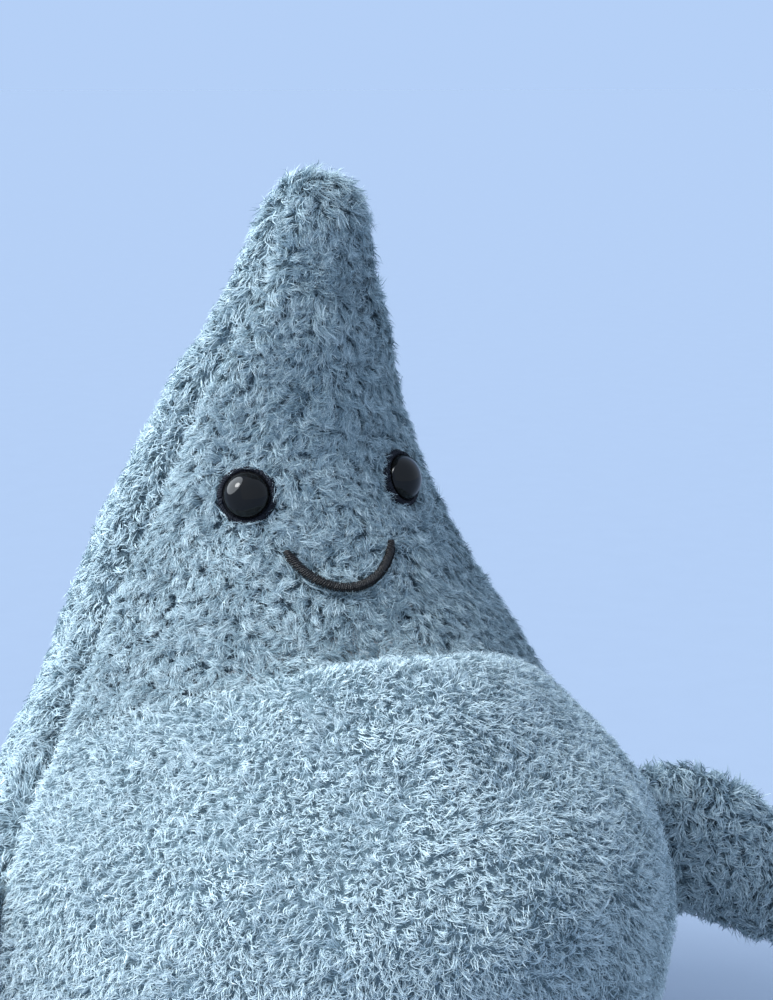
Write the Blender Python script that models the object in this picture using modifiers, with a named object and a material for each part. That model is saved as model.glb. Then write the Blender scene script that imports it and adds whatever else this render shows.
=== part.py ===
"""A plush shark that sits upright: snout up, round belly forward, tail on the floor behind.

The face looks along -Y and the toy's own left side is +X. The origin is the middle of the flat
base, on the surface that the toy sits on. Sizes are in metres. Every soft cover is a closed shell
as thick as its backing and pile together, and the filling is a separate solid inside it.
"""

import math

import bmesh
import bpy
import numpy as np
from mathutils import Matrix, Vector

# ---------------------------------------------------------------- driving dimensions
MM = 0.001
GAP = 0.3 * MM  # between pieces that touch
COVER = 3.0 * MM  # backing and pile of a cover panel
FILL_ROOM = 2.0 * MM  # between a cover's inside and the filling

# The body's sections, from the base up: height, half-width, middle in Y.
BODY = np.array(
    [
        (0.0, 40.0, 0.0),
        (1.2, 50.0, 0.0),
        (6.0, 58.5, 0.0),
        (16.0, 66.5, -1.0),
        (32.0, 72.5, -2.5),
        (48.0, 73.8, -4.5),
        (64.0, 71.8, -6.0),
        (79.0, 67.2, -4.5),
        (96.0, 55.4, 5.0),
        (113.0, 45.5, 12.5),
        (129.0, 37.8, 16.5),
        (145.0, 30.2, 14.5),
        (160.0, 24.2, 9.5),
        (174.0, 17.9, 1.5),
        (186.0, 13.4, -3.5),
        (195.0, 10.8, -6.5),
        (201.0, 7.0, -8.0),
        (203.6, 1.5, -8.5),
    ]
) * MM
RIM_HEIGHT = 6.0 * MM  # where the side panels meet the base panel

# The side seams' angle from the middle of the face, at each height.
SEAM_HEIGHTS = (60.0 * MM, 90.0 * MM, 110.0 * MM, 136.0 * MM, 200.0 * MM)
SEAM_ANGLES = (86.0, 85.0, 80.0, 71.0, 69.0)

# The crease between the head and the belly, and how the belly rolls forward under it.
CREASE_HEIGHT = 113.5 * MM
CREASE_DROP = 18.0 * MM
BELLY_PUSH = 17.0 * MM
BELLY_LIFT = 10.6 * MM
BELLY_ROLL = 19.0 * MM

FRONT_COLUMNS = 14
BACK_COLUMNS = 9
FACE_ROWS = 12
SIDES_SHARP_FROM = 45.0  # edges bent more than this, in degrees, are drawn sharp

EYE_HEIGHTS = {"left": 141.2 * MM, "right": 140.5 * MM}  # sewn by hand, so not quite level
EYE_ANGLE = 33.0
BEAD_RADIUS = 4.5 * MM
BEAD_DOME = 3.5 * MM
BEAD_EDGE = 0.7 * MM  # the bead's straight edge, under its dome
BEAD_SEAT = -1.6 * MM  # the bead's underside, from the body's surface
STEM_RADIUS = 1.5 * MM
STEM_LENGTH = 8.0 * MM
RING_INNER = 4.8 * MM
RING_OUTER = 5.8 * MM
RING_HEIGHT = 1.4 * MM
WASHER_RADIUS = 4.6 * MM
WASHER_THICK = 1.2 * MM
POCKET_CLEAR = 0.5 * MM  # round the washer and the stem, in the filling
POCKET_STEM_RADIUS = 2.2 * MM
TURN_SEGMENTS = 16

MOUTH_HEIGHT = 130.2 * MM  # of its corners
MOUTH_DEPTH = 7.0 * MM
MOUTH_ANGLE = 17.5
MOUTH_TURN = -1.3  # degrees that the smile is sewn off the middle
MOUTH_SUNK = 0.3 * MM
MOUTH_STEPS = 20
STITCH_RADIUS = 0.9 * MM
BACKING_THICK = 0.4 * MM
BACKING_MARGIN = 3.0 * MM  # of the stiff patch, above and below the smile
BACKING_TURN = 0.36

# The base panel's outer and inner rings under the side panels: height, radius.
BASE_OUTER = ((3.4 * MM, 55.2 * MM), (RIM_HEIGHT - GAP, 58.2 * MM))
BASE_INNER = ((7.3 * MM, 55.5 * MM), (5.4 * MM, 52.6 * MM), (3.8 * MM, 48.0 * MM), (COVER, 38.0 * MM))

POUCH_RADIUS = 51.0 * MM
POUCH_Y = -1.0 * MM
POUCH_BOTTOM = 4.0 * MM
POUCH_TOP = 29.0 * MM
POUCH_CLOTH = 0.9 * MM
POUCH_MOUTH = 5.0 * MM
POUCH_STEPS = 9
POUCH_POINTS = 24
POUCH_SWING = 78.0  # how far its rings reach from its waist, in degrees
BEAN_ROOM = 0.5 * MM
POUCH_CLEAR = 1.2 * MM  # between the pouch and the filling above it

# Fins and tail. An outline's points are in millimetres in the fin's own frame: X outward from
# its hinge line, Y up. A centre is where the fin is thickest.
FIN_COVER = 2.0 * MM
FIN_FILL_INSET = FIN_COVER + 0.5 * MM
ROOT_CLEAR = 2.4 * MM  # from the body to a fin's hinge line
PILLOW_STEPS = 5
PILLOW_POINTS = 22
PECTORAL_TOP = 68.0 * MM
PECTORAL_LOW = 38.0 * MM
PECTORAL_LEAN = -0.12  # forward, for each unit outward
PECTORAL_HALF = 6.5 * MM
PECTORAL_CENTRE = (21, -6)
PECTORAL_OUTLINE = (
    (0, 15), (10, 18), (27, 10), (43, -9), (52, -29), (45, -34), (28, -27), (12, -18), (1, -15),
)
DORSAL_TOP = 128.0 * MM
DORSAL_LOW = 74.0 * MM
DORSAL_HALF = 6.0 * MM
DORSAL_CENTRE = (18, -8)
DORSAL_OUTLINE = (
    (0, 25), (13, 19), (29, 4), (43, -19), (47, -31), (39, -34), (19, -27), (2, -25),
)
TAIL_HINGE_Y = 86.0 * MM
TAIL_HALF = 18.0 * MM
TAIL_CENTRE = (17, 18)
TAIL_OUTLINE = (
    (-15, 21), (-9, 40), (8, 42), (26, 33), (41, 27), (47, 19), (41, 11), (25, 4), (6, 1.5), (-9, 4),
)
TAIL_TAPER = 0.45  # the share of its thickness that the tail loses towards its fin
TAIL_TAPER_START = -5.0 * MM
TAIL_TAPER_LENGTH = 50.0 * MM
TAIL_FIN_HINGE_Y = TAIL_HINGE_Y + 49.0 * MM
TAIL_FIN_HALF = 5.4 * MM
TAIL_FIN_CENTRE = (9, 26)
TAIL_FIN_OUTLINE = (
    (0, 28), (4, 41), (12, 57), (23, 68), (28, 65), (24, 50),
    (17, 35), (16, 23), (22, 11), (21, 3), (13, 3), (4, 9), (0, 18),
)

CLOSING_RUNGS = 9
CLOSING_LEVELS = (1.40, 1.70)
CLOSING_TURN = 1.975
CLOSING_DEPTH = COVER + 0.85 * MM
CLOSING_RADIUS = 0.25 * MM

LABEL_SIZE = (14.0 * MM, 18.0 * MM, 0.8 * MM)
LABEL_ANGLE = 150.0
LABEL_REACH = 69.0 * MM  # from the middle of the base to the middle of the label

PART_COLLECTION = "plush_shark"

BLUE_GREY = (0.235, 0.335, 0.405)
WHITE_FIBRE = (0.82, 0.82, 0.80)
CLOTH_WHITE = (0.75, 0.75, 0.72)
PELLET_WHITE = (0.85, 0.85, 0.80)
CLEAR_PLASTIC = (0.8, 0.8, 0.8)
RIBBON_WHITE = (0.9, 0.9, 0.9)
BLACK = (0.012, 0.012, 0.013)


# ---------------------------------------------------------------- scene helpers
def clear_scene():
    for thing in list(bpy.data.objects):
        bpy.data.objects.remove(thing, do_unlink=True)


def collection(name):
    made = bpy.data.collections.new(name)
    bpy.context.scene.collection.children.link(made)
    return made


def material(name, colour, roughness):
    made = bpy.data.materials.new(name)
    made.use_nodes = True
    shader = made.node_tree.nodes["Principled BSDF"]
    shader.inputs["Base Color"].default_value = (*colour, 1.0)
    shader.inputs["Roughness"].default_value = roughness
    made.diffuse_color = (*colour, 1.0)
    return made


def new_object(name, mesh, colour, roughness):
    """Links a mesh as one sub-part with a material of its own."""
    made = bpy.data.objects.new(name, mesh)
    parts.objects.link(made)
    mesh.materials.clear()
    mesh.materials.append(material(name, colour, roughness))
    mesh.shade_smooth()
    mesh.set_sharp_from_angle(angle=math.radians(SIDES_SHARP_FROM))
    return made


def mesh_from(name, points, faces):
    """A mesh whose faces all look outward."""
    mesh = bpy.data.meshes.new(name)
    mesh.from_pydata([tuple(p) for p in points], [], faces)
    work = bmesh.new()
    work.from_mesh(mesh)
    bmesh.ops.recalc_face_normals(work, faces=work.faces)
    work.to_mesh(mesh)
    work.free()
    return mesh


def loft(name, rings):
    """A closed solid through rings with equal counts of points, capped by one face at each end."""
    count = len(rings[0])
    points = np.concatenate(rings)
    faces = [tuple(range(count)), tuple(range(len(points) - count, len(points)))]
    for ring in range(len(rings) - 1):
        for i in range(count):
            a = ring * count + i
            b = ring * count + (i + 1) % count
            faces.append((a, b, b + count, a + count))
    return mesh_from(name, points, faces)


def shell(name, outer, inner):
    """A closed shell between an outer and an inner grid of points, with a rim all round."""
    rows, columns = outer.shape[:2]
    points = np.concatenate([outer.reshape(-1, 3), inner.reshape(-1, 3)])
    under = rows * columns
    faces = []
    for i in range(rows - 1):
        for j in range(columns - 1):
            a = i * columns + j
            quad = (a, a + 1, a + columns + 1, a + columns)
            faces.append(quad)
            faces.append(tuple(under + k for k in reversed(quad)))
    edge = list(range(columns))
    edge += [i * columns + columns - 1 for i in range(1, rows)]
    edge += [(rows - 1) * columns + j for j in range(columns - 2, -1, -1)]
    edge += [i * columns for i in range(rows - 2, 0, -1)]
    for k, a in enumerate(edge):
        b = edge[(k + 1) % len(edge)]
        faces.append((b, a, a + under, b + under))
    return mesh_from(name, points, faces)


def frame_at(origin, x_axis, z_axis):
    """A matrix with its X and Z along the given directions, made square to each other."""
    z = Vector(z_axis).normalized()
    x = Vector(x_axis)
    x = (x - z * x.dot(z)).normalized()
    y = z.cross(x)
    made = Matrix((x, y, z)).transposed().to_4x4()
    made.translation = Vector(origin)
    return made


def turned(name, profile, place, colour, roughness):
    """A turned piece: a closed or axis-to-axis (radius, height) profile on a Screw modifier."""
    mesh = bpy.data.meshes.new(name)
    edges = [(i, i + 1) for i in range(len(profile) - 1)]
    if profile[0][0] > 0.0:
        edges.append((len(profile) - 1, 0))
    mesh.from_pydata([(radius, 0.0, height) for radius, height in profile], edges, [])
    made = new_object(name, mesh, colour, roughness)
    screw = made.modifiers.new("turn", "SCREW")
    screw.steps = TURN_SEGMENTS
    screw.render_steps = TURN_SEGMENTS
    screw.use_merge_vertices = True
    screw.merge_threshold = 0.00001
    made.matrix_world = place
    return made


def cut(piece, cutter):
    """Cuts a piece with a hidden cutter."""
    boolean = piece.modifiers.new("cut_" + cutter.name, "BOOLEAN")
    boolean.operation = "DIFFERENCE"
    boolean.solver = "EXACT"
    boolean.object = cutter


def as_cutter(made):
    if made.name in parts.objects:
        parts.objects.unlink(made)
    cutters.objects.link(made)
    made.hide_render = True
    made.display_type = "WIRE"
    return made


# ---------------------------------------------------------------- the body's surface
def along(table, place):
    """The Catmull-Rom curve through a table's rows, at places counted in rows."""
    place = np.asarray(place, float)
    last = len(table) - 1
    row = np.clip(np.floor(place).astype(int), 0, last - 1)
    part = (place - row)[..., None]
    before = table[np.maximum(row - 1, 0)]
    start = table[row]
    end = table[row + 1]
    after = table[np.minimum(row + 2, last)]
    linear = (end - before) * part
    square = (2 * before - 5 * start + 4 * end - after) * part**2
    cube = (3 * start - before - 3 * end + after) * part**3
    return 0.5 * (2 * start + linear + square + cube)


PLACES = np.linspace(0, len(BODY) - 1, 1200)
HEIGHTS = along(BODY, PLACES)[:, 0]
TIP_PLACE = len(BODY) - 1.0


def place_of(height):
    return np.interp(height, HEIGHTS, PLACES)


def seam_angle(height):
    return np.radians(np.interp(height, SEAM_HEIGHTS, SEAM_ANGLES))


def skin(level, turn):
    """Points of the outer surface.

    level runs from 0 at the tip to 1 at the crease and 2 at the base's rim. turn is -1 to 1
    across the front, from side seam to side seam, and reaches -2 and 2 at the back seam.
    """
    level, turn = np.broadcast_arrays(np.asarray(level, float), np.asarray(turn, float))
    across = np.clip(turn, -1.0, 1.0)
    crease = CREASE_HEIGHT - CREASE_DROP * across**2
    upper = TIP_PLACE + (place_of(crease) - TIP_PLACE) * np.minimum(level, 1.0)
    low_height = crease + (RIM_HEIGHT - crease) * (level - 1.0)
    place = np.where(level <= 1.0, upper, place_of(low_height))
    height, half_width, middle = np.moveaxis(along(BODY, place), -1, 0)
    seam = seam_angle(height)
    behind = np.clip(np.abs(turn) - 1.0, 0.0, 1.0)
    angle = across * seam + np.sign(turn) * behind * (math.pi - seam)
    below = np.maximum(level - 1.0, 0.0) * (crease - RIM_HEIGHT)
    roll = np.clip(below / BELLY_ROLL, 0.0, 1.0)
    run = np.clip((below - BELLY_ROLL) / (crease - RIM_HEIGHT - BELLY_ROLL), 0.0, 1.0)
    fade = np.cos(across * math.pi / 2) ** 2.4
    push = BELLY_PUSH * fade * np.sin(roll * math.pi / 2) * (0.5 + 0.5 * np.cos(run * math.pi))
    lift = BELLY_LIFT * fade * np.sin(roll * math.pi) * (1.0 - roll) ** 0.6
    x = half_width * np.sin(angle)
    y = middle - half_width * np.cos(angle) - push
    return np.stack([x, y, height + lift], axis=-1)


def skin_normal(level, turn):
    """Outward directions, shared by the panels on both sides of a seam."""
    step = 0.004
    level, turn = np.broadcast_arrays(np.asarray(level, float), np.asarray(turn, float))
    down = skin(level + step, turn) - skin(np.maximum(level - step, 0.0), turn)
    round_it = skin(level, turn + step) - skin(level, turn - step)
    normal = np.cross(down, round_it)
    return normal / np.linalg.norm(normal, axis=-1, keepdims=True)


def inside(level, turn, depth):
    return skin(level, turn) - skin_normal(level, turn) * depth


def trimmed(grid, by):
    """Draws a grid's four edges in, so that neighbouring panels keep a gap."""
    done = grid.copy()
    for edge, inner in (
        (np.s_[0, :], np.s_[1, :]),
        (np.s_[-1, :], np.s_[-2, :]),
        (np.s_[:, 0], np.s_[:, 1]),
        (np.s_[:, -1], np.s_[:, -2]),
    ):
        inward = done[inner] - done[edge]
        done[edge] += by * inward / np.linalg.norm(inward, axis=-1, keepdims=True)
    return done


def panel(name, levels, turns):
    """A cover panel over a rectangle of the body's surface."""
    level, turn = np.meshgrid(levels, turns, indexing="ij")
    outer = trimmed(skin(level, turn), GAP / 2)
    inner = trimmed(inside(level, turn, COVER), GAP / 2)
    return new_object(name, shell(name, outer, inner), BLUE_GREY, 0.95)


FACE_LEVELS = np.concatenate([[0.0, 0.035], np.linspace(0.1, 1.0, FACE_ROWS - 1)])
BELLY_LEVELS = 1.0 + np.array([0.0, 0.05, 0.11, 0.18, 0.26, 0.38, 0.52, 0.68, 0.84, 1.0])
FRONT_TURNS = np.linspace(-1.0, 1.0, FRONT_COLUMNS + 1)
LEFT_TURNS = np.linspace(1.0, 2.0, BACK_COLUMNS + 1)
RIGHT_TURNS = -LEFT_TURNS[::-1]
ALL_TURNS = np.concatenate([FRONT_TURNS, LEFT_TURNS[1:], RIGHT_TURNS[1:-1]])


def make_covers():
    face = panel("face_panel", FACE_LEVELS, FRONT_TURNS)
    panel("belly_panel", BELLY_LEVELS, FRONT_TURNS)
    all_levels = np.concatenate([FACE_LEVELS, BELLY_LEVELS[1:]])
    panel("back_panel_left", all_levels, LEFT_TURNS)
    panel("back_panel_right", all_levels, RIGHT_TURNS)
    return face


def base_ring(height, radius, middle):
    """One ring of the base panel, with its points under those of the side panels."""
    seam = seam_angle(height)
    across = np.clip(ALL_TURNS, -1.0, 1.0)
    behind = np.clip(np.abs(ALL_TURNS) - 1.0, 0.0, 1.0)
    angle = across * seam + np.sign(ALL_TURNS) * behind * (math.pi - seam)
    x = radius * np.sin(angle)
    y = middle - radius * np.cos(angle)
    return np.stack([x, y, np.full_like(x, height)], axis=-1)


def make_base():
    """The flat base: a dished panel whose edge turns up to meet the sides."""
    outer = [base_ring(*BODY[0]), base_ring(*BODY[1])]
    outer += [base_ring(height, radius, 0.0) for height, radius in BASE_OUTER]
    inner = [base_ring(height, radius, 0.0) for height, radius in BASE_INNER]
    new_object("base_panel", loft("base_panel", outer + inner), BLUE_GREY, 0.95)


def make_stuffing():
    """The fibre filling of the head and belly, down to the bean pouch."""
    depth = COVER + FILL_ROOM
    levels = np.concatenate([FACE_LEVELS[2:], BELLY_LEVELS[1:-3]])
    rings = [inside(level, ALL_TURNS, depth) for level in levels]
    low = POUCH_TOP + POUCH_CLEAR
    crease = CREASE_HEIGHT - CREASE_DROP * np.clip(ALL_TURNS, -1.0, 1.0) ** 2
    floor = inside(1.0 + (crease - low) / (crease - RIM_HEIGHT), ALL_TURNS, depth)
    floor[:, 2] = low
    rings.append(floor)
    return new_object("body_stuffing", loft("body_stuffing", rings), WHITE_FIBRE, 1.0)


# ---------------------------------------------------------------- the bean pouch

def pouch_rings(shrink, top_radius):
    """Rings of a squat round bag, from the middle of its underside to its mouth."""
    middle = (POUCH_BOTTOM + POUCH_TOP) / 2
    half = (POUCH_TOP - POUCH_BOTTOM) / 2 - shrink
    rings = []
    for step in range(POUCH_STEPS + 1):
        swing = math.radians(POUCH_SWING * (2 * step / POUCH_STEPS - 1))
        radius = (POUCH_RADIUS - shrink) * math.cos(swing) ** 0.6
        height = middle + half * math.copysign(abs(math.sin(swing)) ** 0.8, swing)
        if step == POUCH_STEPS:
            radius = top_radius
            height = middle + half
        around = np.linspace(0.0, 2 * math.pi, POUCH_POINTS, endpoint=False)
        flat = np.zeros(POUCH_POINTS)
        ring = np.stack([np.sin(around), np.cos(around), flat], axis=-1) * radius
        rings.append(ring + np.array([0.0, POUCH_Y, height]))
    return rings


def make_pouch():
    outside = pouch_rings(0.0, POUCH_MOUTH)
    within = pouch_rings(POUCH_CLOTH, POUCH_MOUTH)
    cloth = loft("bean_pouch", outside + within[::-1])
    new_object("bean_pouch", cloth, CLOTH_WHITE, 0.9)
    beans = loft("bean_fill", pouch_rings(POUCH_CLOTH + BEAN_ROOM, POUCH_MOUTH / 2))
    new_object("bean_fill", beans, PELLET_WHITE, 0.6)


# ---------------------------------------------------------------- eyes and mouth
def face_place(angle_degrees, height):
    """The level and turn of the face panel at an angle from its middle and a height."""
    turn = math.radians(angle_degrees) / float(seam_angle(height))
    crease = CREASE_HEIGHT - CREASE_DROP * turn**2
    level = (TIP_PLACE - place_of(height)) / (TIP_PLACE - place_of(crease))
    return float(level), turn


def make_bead(side, place):
    """A domed bead and its stem, in one piece."""
    foot = BEAD_SEAT + BEAD_EDGE
    bevel = 0.4 * MM
    stem_end = BEAD_SEAT - STEM_LENGTH
    profile = [(0.0, foot + BEAD_DOME)]
    for swing in (15, 30, 45, 60, 75, 90):
        swing = math.radians(swing)
        profile.append((BEAD_RADIUS * math.sin(swing), foot + BEAD_DOME * math.cos(swing)))
    profile += [
        (BEAD_RADIUS, BEAD_SEAT + bevel / 2),
        (BEAD_RADIUS - bevel, BEAD_SEAT),
        (STEM_RADIUS, BEAD_SEAT),
        (STEM_RADIUS, stem_end + bevel),
        (STEM_RADIUS - bevel, stem_end),
        (0.0, stem_end),
    ]
    turned("bead_eye_" + side, profile, place, BLACK, 0.06)


def make_ring(side, place):
    """The sewn ring round a bead, with a six-sided section."""
    middle = (RING_INNER + RING_OUTER) / 2
    reach = (RING_OUTER - RING_INNER) / 2
    profile = []
    for swing in (0, -60, -120, -180, -240, -300):
        swing = math.radians(swing)
        height = BEAD_SEAT + RING_HEIGHT / 2 * (1 + math.sin(swing))
        profile.append((middle + reach * math.cos(swing), height))
    turned("eye_ring_" + side, profile, place, BLACK, 0.8)


def make_eye(side, sign, face, stuffing):
    """A bead, its ring and its lock washer, with their room in the face and the filling."""
    level, turn = face_place(sign * EYE_ANGLE, EYE_HEIGHTS[side])
    place = frame_at(skin(level, turn), (0, 0, 1), skin_normal(level, turn))
    make_bead(side, place)
    make_ring(side, place)
    top = -(COVER + 2 * GAP)
    low = top - WASHER_THICK
    bore = STEM_RADIUS + GAP
    washer = [(bore, top), (WASHER_RADIUS, top), (WASHER_RADIUS, low), (bore, low)]
    turned("eye_washer_" + side, washer, place, CLEAR_PLASTIC, 0.5)
    above = 5.0 * MM
    through = -2 * COVER
    wide = RING_OUTER + GAP
    seat = BEAD_SEAT - GAP
    recess = [(0.0, above), (wide, above), (wide, seat), (bore, seat), (bore, through), (0.0, through)]
    cut(face, as_cutter(turned("eye_seat_cutter_" + side, recess, place, BLACK, 1.0)))
    wide = WASHER_RADIUS + POCKET_CLEAR
    shelf = low - POCKET_CLEAR
    deep = BEAD_SEAT - STEM_LENGTH - POCKET_CLEAR
    pocket = [(0.0, 0.0), (wide, 0.0), (wide, shelf)]
    pocket += [(POCKET_STEM_RADIUS, shelf), (POCKET_STEM_RADIUS, deep), (0.0, deep)]
    cut(stuffing, as_cutter(turned("eye_pocket_cutter_" + side, pocket, place, BLACK, 1.0)))


def mouth_line(count, proud):
    """Points of the smile, a hanging arc over the face, raised from its surface."""
    points = []
    for step in range(count + 1):
        part = -1.0 + 2.0 * step / count
        height = MOUTH_HEIGHT - MOUTH_DEPTH * (1.0 - part**2) ** 0.8
        level, turn = face_place(MOUTH_TURN + MOUTH_ANGLE * part, height)
        points.append(skin(level, turn) + skin_normal(level, turn) * proud)
    return points


def tube(name, points, radius, sides, colour, roughness):
    """A bent rod or thread as one closed mesh."""
    curve = bpy.data.curves.new(name, "CURVE")
    curve.dimensions = "3D"
    curve.bevel_depth = radius
    curve.bevel_resolution = sides
    curve.use_fill_caps = True
    line = curve.splines.new("POLY")
    line.points.add(len(points) - 1)
    for knot, point in zip(line.points, points):
        knot.co = (*point, 1.0)
    rod = bpy.data.objects.new(name + "_curve", curve)
    bpy.context.scene.collection.objects.link(rod)
    bpy.context.view_layer.update()
    evaluated = rod.evaluated_get(bpy.context.evaluated_depsgraph_get())
    mesh = bpy.data.meshes.new_from_object(evaluated)
    work = bmesh.new()
    work.from_mesh(mesh)
    bmesh.ops.remove_doubles(work, verts=work.verts, dist=0.01 * MM)
    bmesh.ops.recalc_face_normals(work, faces=work.faces)
    work.to_mesh(mesh)
    work.free()
    bpy.data.objects.remove(rod, do_unlink=True)
    mesh.name = name
    return new_object(name, mesh, colour, roughness)


def make_mouth(face):
    """The sewn smile, the groove it lies in, and the stiff patch behind it."""
    line = mouth_line(MOUTH_STEPS, -MOUTH_SUNK)
    tube("mouth_stitching", line, STITCH_RADIUS, 2, BLACK, 0.7)
    groove = tube("mouth_groove", line, STITCH_RADIUS + GAP, 2, BLACK, 1.0)
    cut(face, as_cutter(groove))
    top = face_place(0.0, MOUTH_HEIGHT + BACKING_MARGIN)[0]
    low = face_place(0.0, MOUTH_HEIGHT - MOUTH_DEPTH - BACKING_MARGIN)[0]
    levels = np.linspace(top, low, 5)
    turns = np.linspace(-BACKING_TURN, BACKING_TURN, 7)
    level, turn = np.meshgrid(levels, turns, indexing="ij")
    depth = COVER + GAP
    patch = shell(
        "mouth_backing", inside(level, turn, depth), inside(level, turn, depth + BACKING_THICK)
    )
    new_object("mouth_backing", patch, WHITE_FIBRE, 0.9)


# ---------------------------------------------------------------- pillows: fins and tail
def outline_points(knots, count):
    """Evenly spaced points on the closed smooth curve through a few knots."""
    loop = np.array([knots[-1], *knots, knots[0], knots[1]], float)
    places = np.linspace(1.0, len(knots) + 1.0, 600)
    fine = along(loop, places)
    steps = np.linalg.norm(np.diff(fine, axis=0), axis=1)
    run = np.concatenate([[0.0], np.cumsum(steps)])
    want = np.linspace(0.0, run[-1], count, endpoint=False)
    return np.stack([np.interp(want, run, fine[:, k]) for k in range(2)], axis=-1)


def pillow_rings(edge, centre, half_thick, inset, side, fullness, seam=0.0):
    """Rings of one half of a sewn pillow, from its rim to its crown.

    half_thick is a function of a point on the flat outline. side is 1 or -1 across the seam.
    """
    rings = []
    spokes = edge - centre
    reach = np.linalg.norm(spokes, axis=1, keepdims=True)
    spokes = spokes * (1.0 - inset / reach)
    for step in range(PILLOW_STEPS):
        share = math.sin(math.radians(90.0 - 84.0 * step / (PILLOW_STEPS - 1)))
        flat = centre + spokes * share
        crown = np.maximum(half_thick(flat) - inset - seam, 0.2 * MM)
        rise = seam + crown * (1.0 - share**2) ** fullness
        rings.append(np.column_stack([flat, side * rise]))
    return rings


def make_pillow(prefix, sides, knots, centre, half_thick, fullness, place):
    """Two cover panels sewn edge to edge round a filling, in a local flat frame."""
    edge = outline_points(np.array(knots) * MM, PILLOW_POINTS)
    centre = np.array(centre) * MM
    seam = GAP / 2
    for side_name, side in sides:
        outer = pillow_rings(edge, centre, half_thick, 0.0, side, fullness, seam)
        inner = pillow_rings(edge, centre, half_thick, FIN_COVER, side, fullness, seam)
        name = f"{prefix}_panel_{side_name}"
        made = new_object(name, loft(name, outer[::-1] + inner), BLUE_GREY, 0.95)
        made.matrix_world = place
    upper = pillow_rings(edge, centre, half_thick, FIN_FILL_INSET, 1, fullness)
    lower = pillow_rings(edge, centre, half_thick, FIN_FILL_INSET, -1, fullness)
    name = f"{prefix}_stuffing"
    made = new_object(name, loft(name, upper[::-1] + lower[1:]), WHITE_FIBRE, 1.0)
    made.matrix_world = place


def even(thickness):
    """The same half-thickness all over."""
    return lambda flat: np.full(len(flat), thickness)


def seam_place(height, angle):
    """A point of the body's plain sections, at a height and an angle from the face's middle."""
    z, half_width, middle = along(BODY, place_of(height))
    return Vector((half_width * math.sin(angle), middle - half_width * math.cos(angle), z))


def root_frame(top, low, outward, clear):
    """A fin's own frame: X outward, Y up the root line, Z through the fin's thickness."""
    up = (top - low).normalized()
    out = Vector(outward)
    out = (out - up * out.dot(up)).normalized()
    through = out.cross(up)
    made = Matrix((out, up, through)).transposed().to_4x4()
    made.translation = (top + low) / 2 + out * clear
    return made


def make_pectoral(side, sign):
    """A side fin in the side seam, with its hinge line along the seam."""
    top = seam_place(PECTORAL_TOP, sign * float(seam_angle(PECTORAL_TOP)))
    low = seam_place(PECTORAL_LOW, sign * float(seam_angle(PECTORAL_LOW)))
    place = root_frame(top, low, (sign, PECTORAL_LEAN, 0.0), ROOT_CLEAR)
    sides = (("rear", sign), ("front", -sign))
    make_pillow(
        "pectoral_fin_" + side, sides, PECTORAL_OUTLINE, PECTORAL_CENTRE, even(PECTORAL_HALF),
        0.75, place,
    )


def make_dorsal():
    """The back fin, in the centre back seam."""
    top = seam_place(DORSAL_TOP, math.pi)
    low = seam_place(DORSAL_LOW, math.pi)
    place = root_frame(top, low, (0, 1, 0), ROOT_CLEAR)
    sides = (("left", 1), ("right", -1))
    make_pillow(
        "dorsal_fin", sides, DORSAL_OUTLINE, DORSAL_CENTRE, even(DORSAL_HALF), 0.75, place
    )


def tail_half_thickness(flat):
    """The tail narrows from its root to its fin."""
    share = np.clip((flat[:, 0] - TAIL_TAPER_START) / TAIL_TAPER_LENGTH, 0.0, 1.0)
    return TAIL_HALF * (1.0 - TAIL_TAPER * share**1.5)


def upright_place(y):
    """A frame with local X along +Y, local Y up and local Z along +X."""
    made = Matrix(((0, 0, 1), (1, 0, 0), (0, 1, 0))).to_4x4()
    made.translation = Vector((0.0, y, 0.0))
    return made


def make_tail():
    sides = (("left", 1), ("right", -1))
    make_pillow(
        "tail", sides, TAIL_OUTLINE, TAIL_CENTRE, tail_half_thickness, 0.5,
        upright_place(TAIL_HINGE_Y),
    )
    make_pillow(
        "tail_fin", sides, TAIL_FIN_OUTLINE, TAIL_FIN_CENTRE, even(TAIL_FIN_HALF), 0.7,
        upright_place(TAIL_FIN_HINGE_Y),
    )


# ---------------------------------------------------------------- small sewn things
def make_closing_stitches():
    """The ladder stitches that close the back seam from inside."""
    points = []
    for rung, level in enumerate(np.linspace(*CLOSING_LEVELS, CLOSING_RUNGS + 1)):
        turn = (CLOSING_TURN, -CLOSING_TURN)[rung % 2]
        points.append(inside(level, turn, CLOSING_DEPTH))
    tube("closing_stitches", points, CLOSING_RADIUS, 1, BLUE_GREY, 0.8)


def make_label():
    """A blank folded ribbon label, sewn in where the base meets the back."""
    bpy.ops.mesh.primitive_cube_add(size=1.0)
    label = bpy.context.object
    label.name = "care_label"
    for owner in list(label.users_collection):
        owner.objects.unlink(label)
    parts.objects.link(label)
    mesh = label.data
    mesh.transform(Matrix.Diagonal((*LABEL_SIZE, 1.0)))
    mesh.materials.append(material("care_label", RIBBON_WHITE, 0.7))
    angle = math.radians(LABEL_ANGLE)
    label.location = (LABEL_REACH * math.sin(angle), -LABEL_REACH * math.cos(angle), RIM_HEIGHT)
    label.rotation_euler = (0.0, 0.0, angle - math.pi)


clear_scene()
parts = collection(PART_COLLECTION)
cutters = collection("cutters")
face_cover = make_covers()
make_base()
filling = make_stuffing()
make_pouch()
make_eye("left", 1, face_cover, filling)
make_eye("right", -1, face_cover, filling)
make_mouth(face_cover)
make_pectoral("left", 1)
make_pectoral("right", -1)
make_dorsal()
make_tail()
make_closing_stitches()
make_label()
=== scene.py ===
"""The looks of the plush shark: cloth, pile, thread and beads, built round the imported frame.

The face looks along -Y and the toy's own left side is +X. Every cover is a closed cloth shell near
the frame's surface, mostly a few millimetres under it, with a pile of separate curled fibres.
"""

import math

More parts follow.
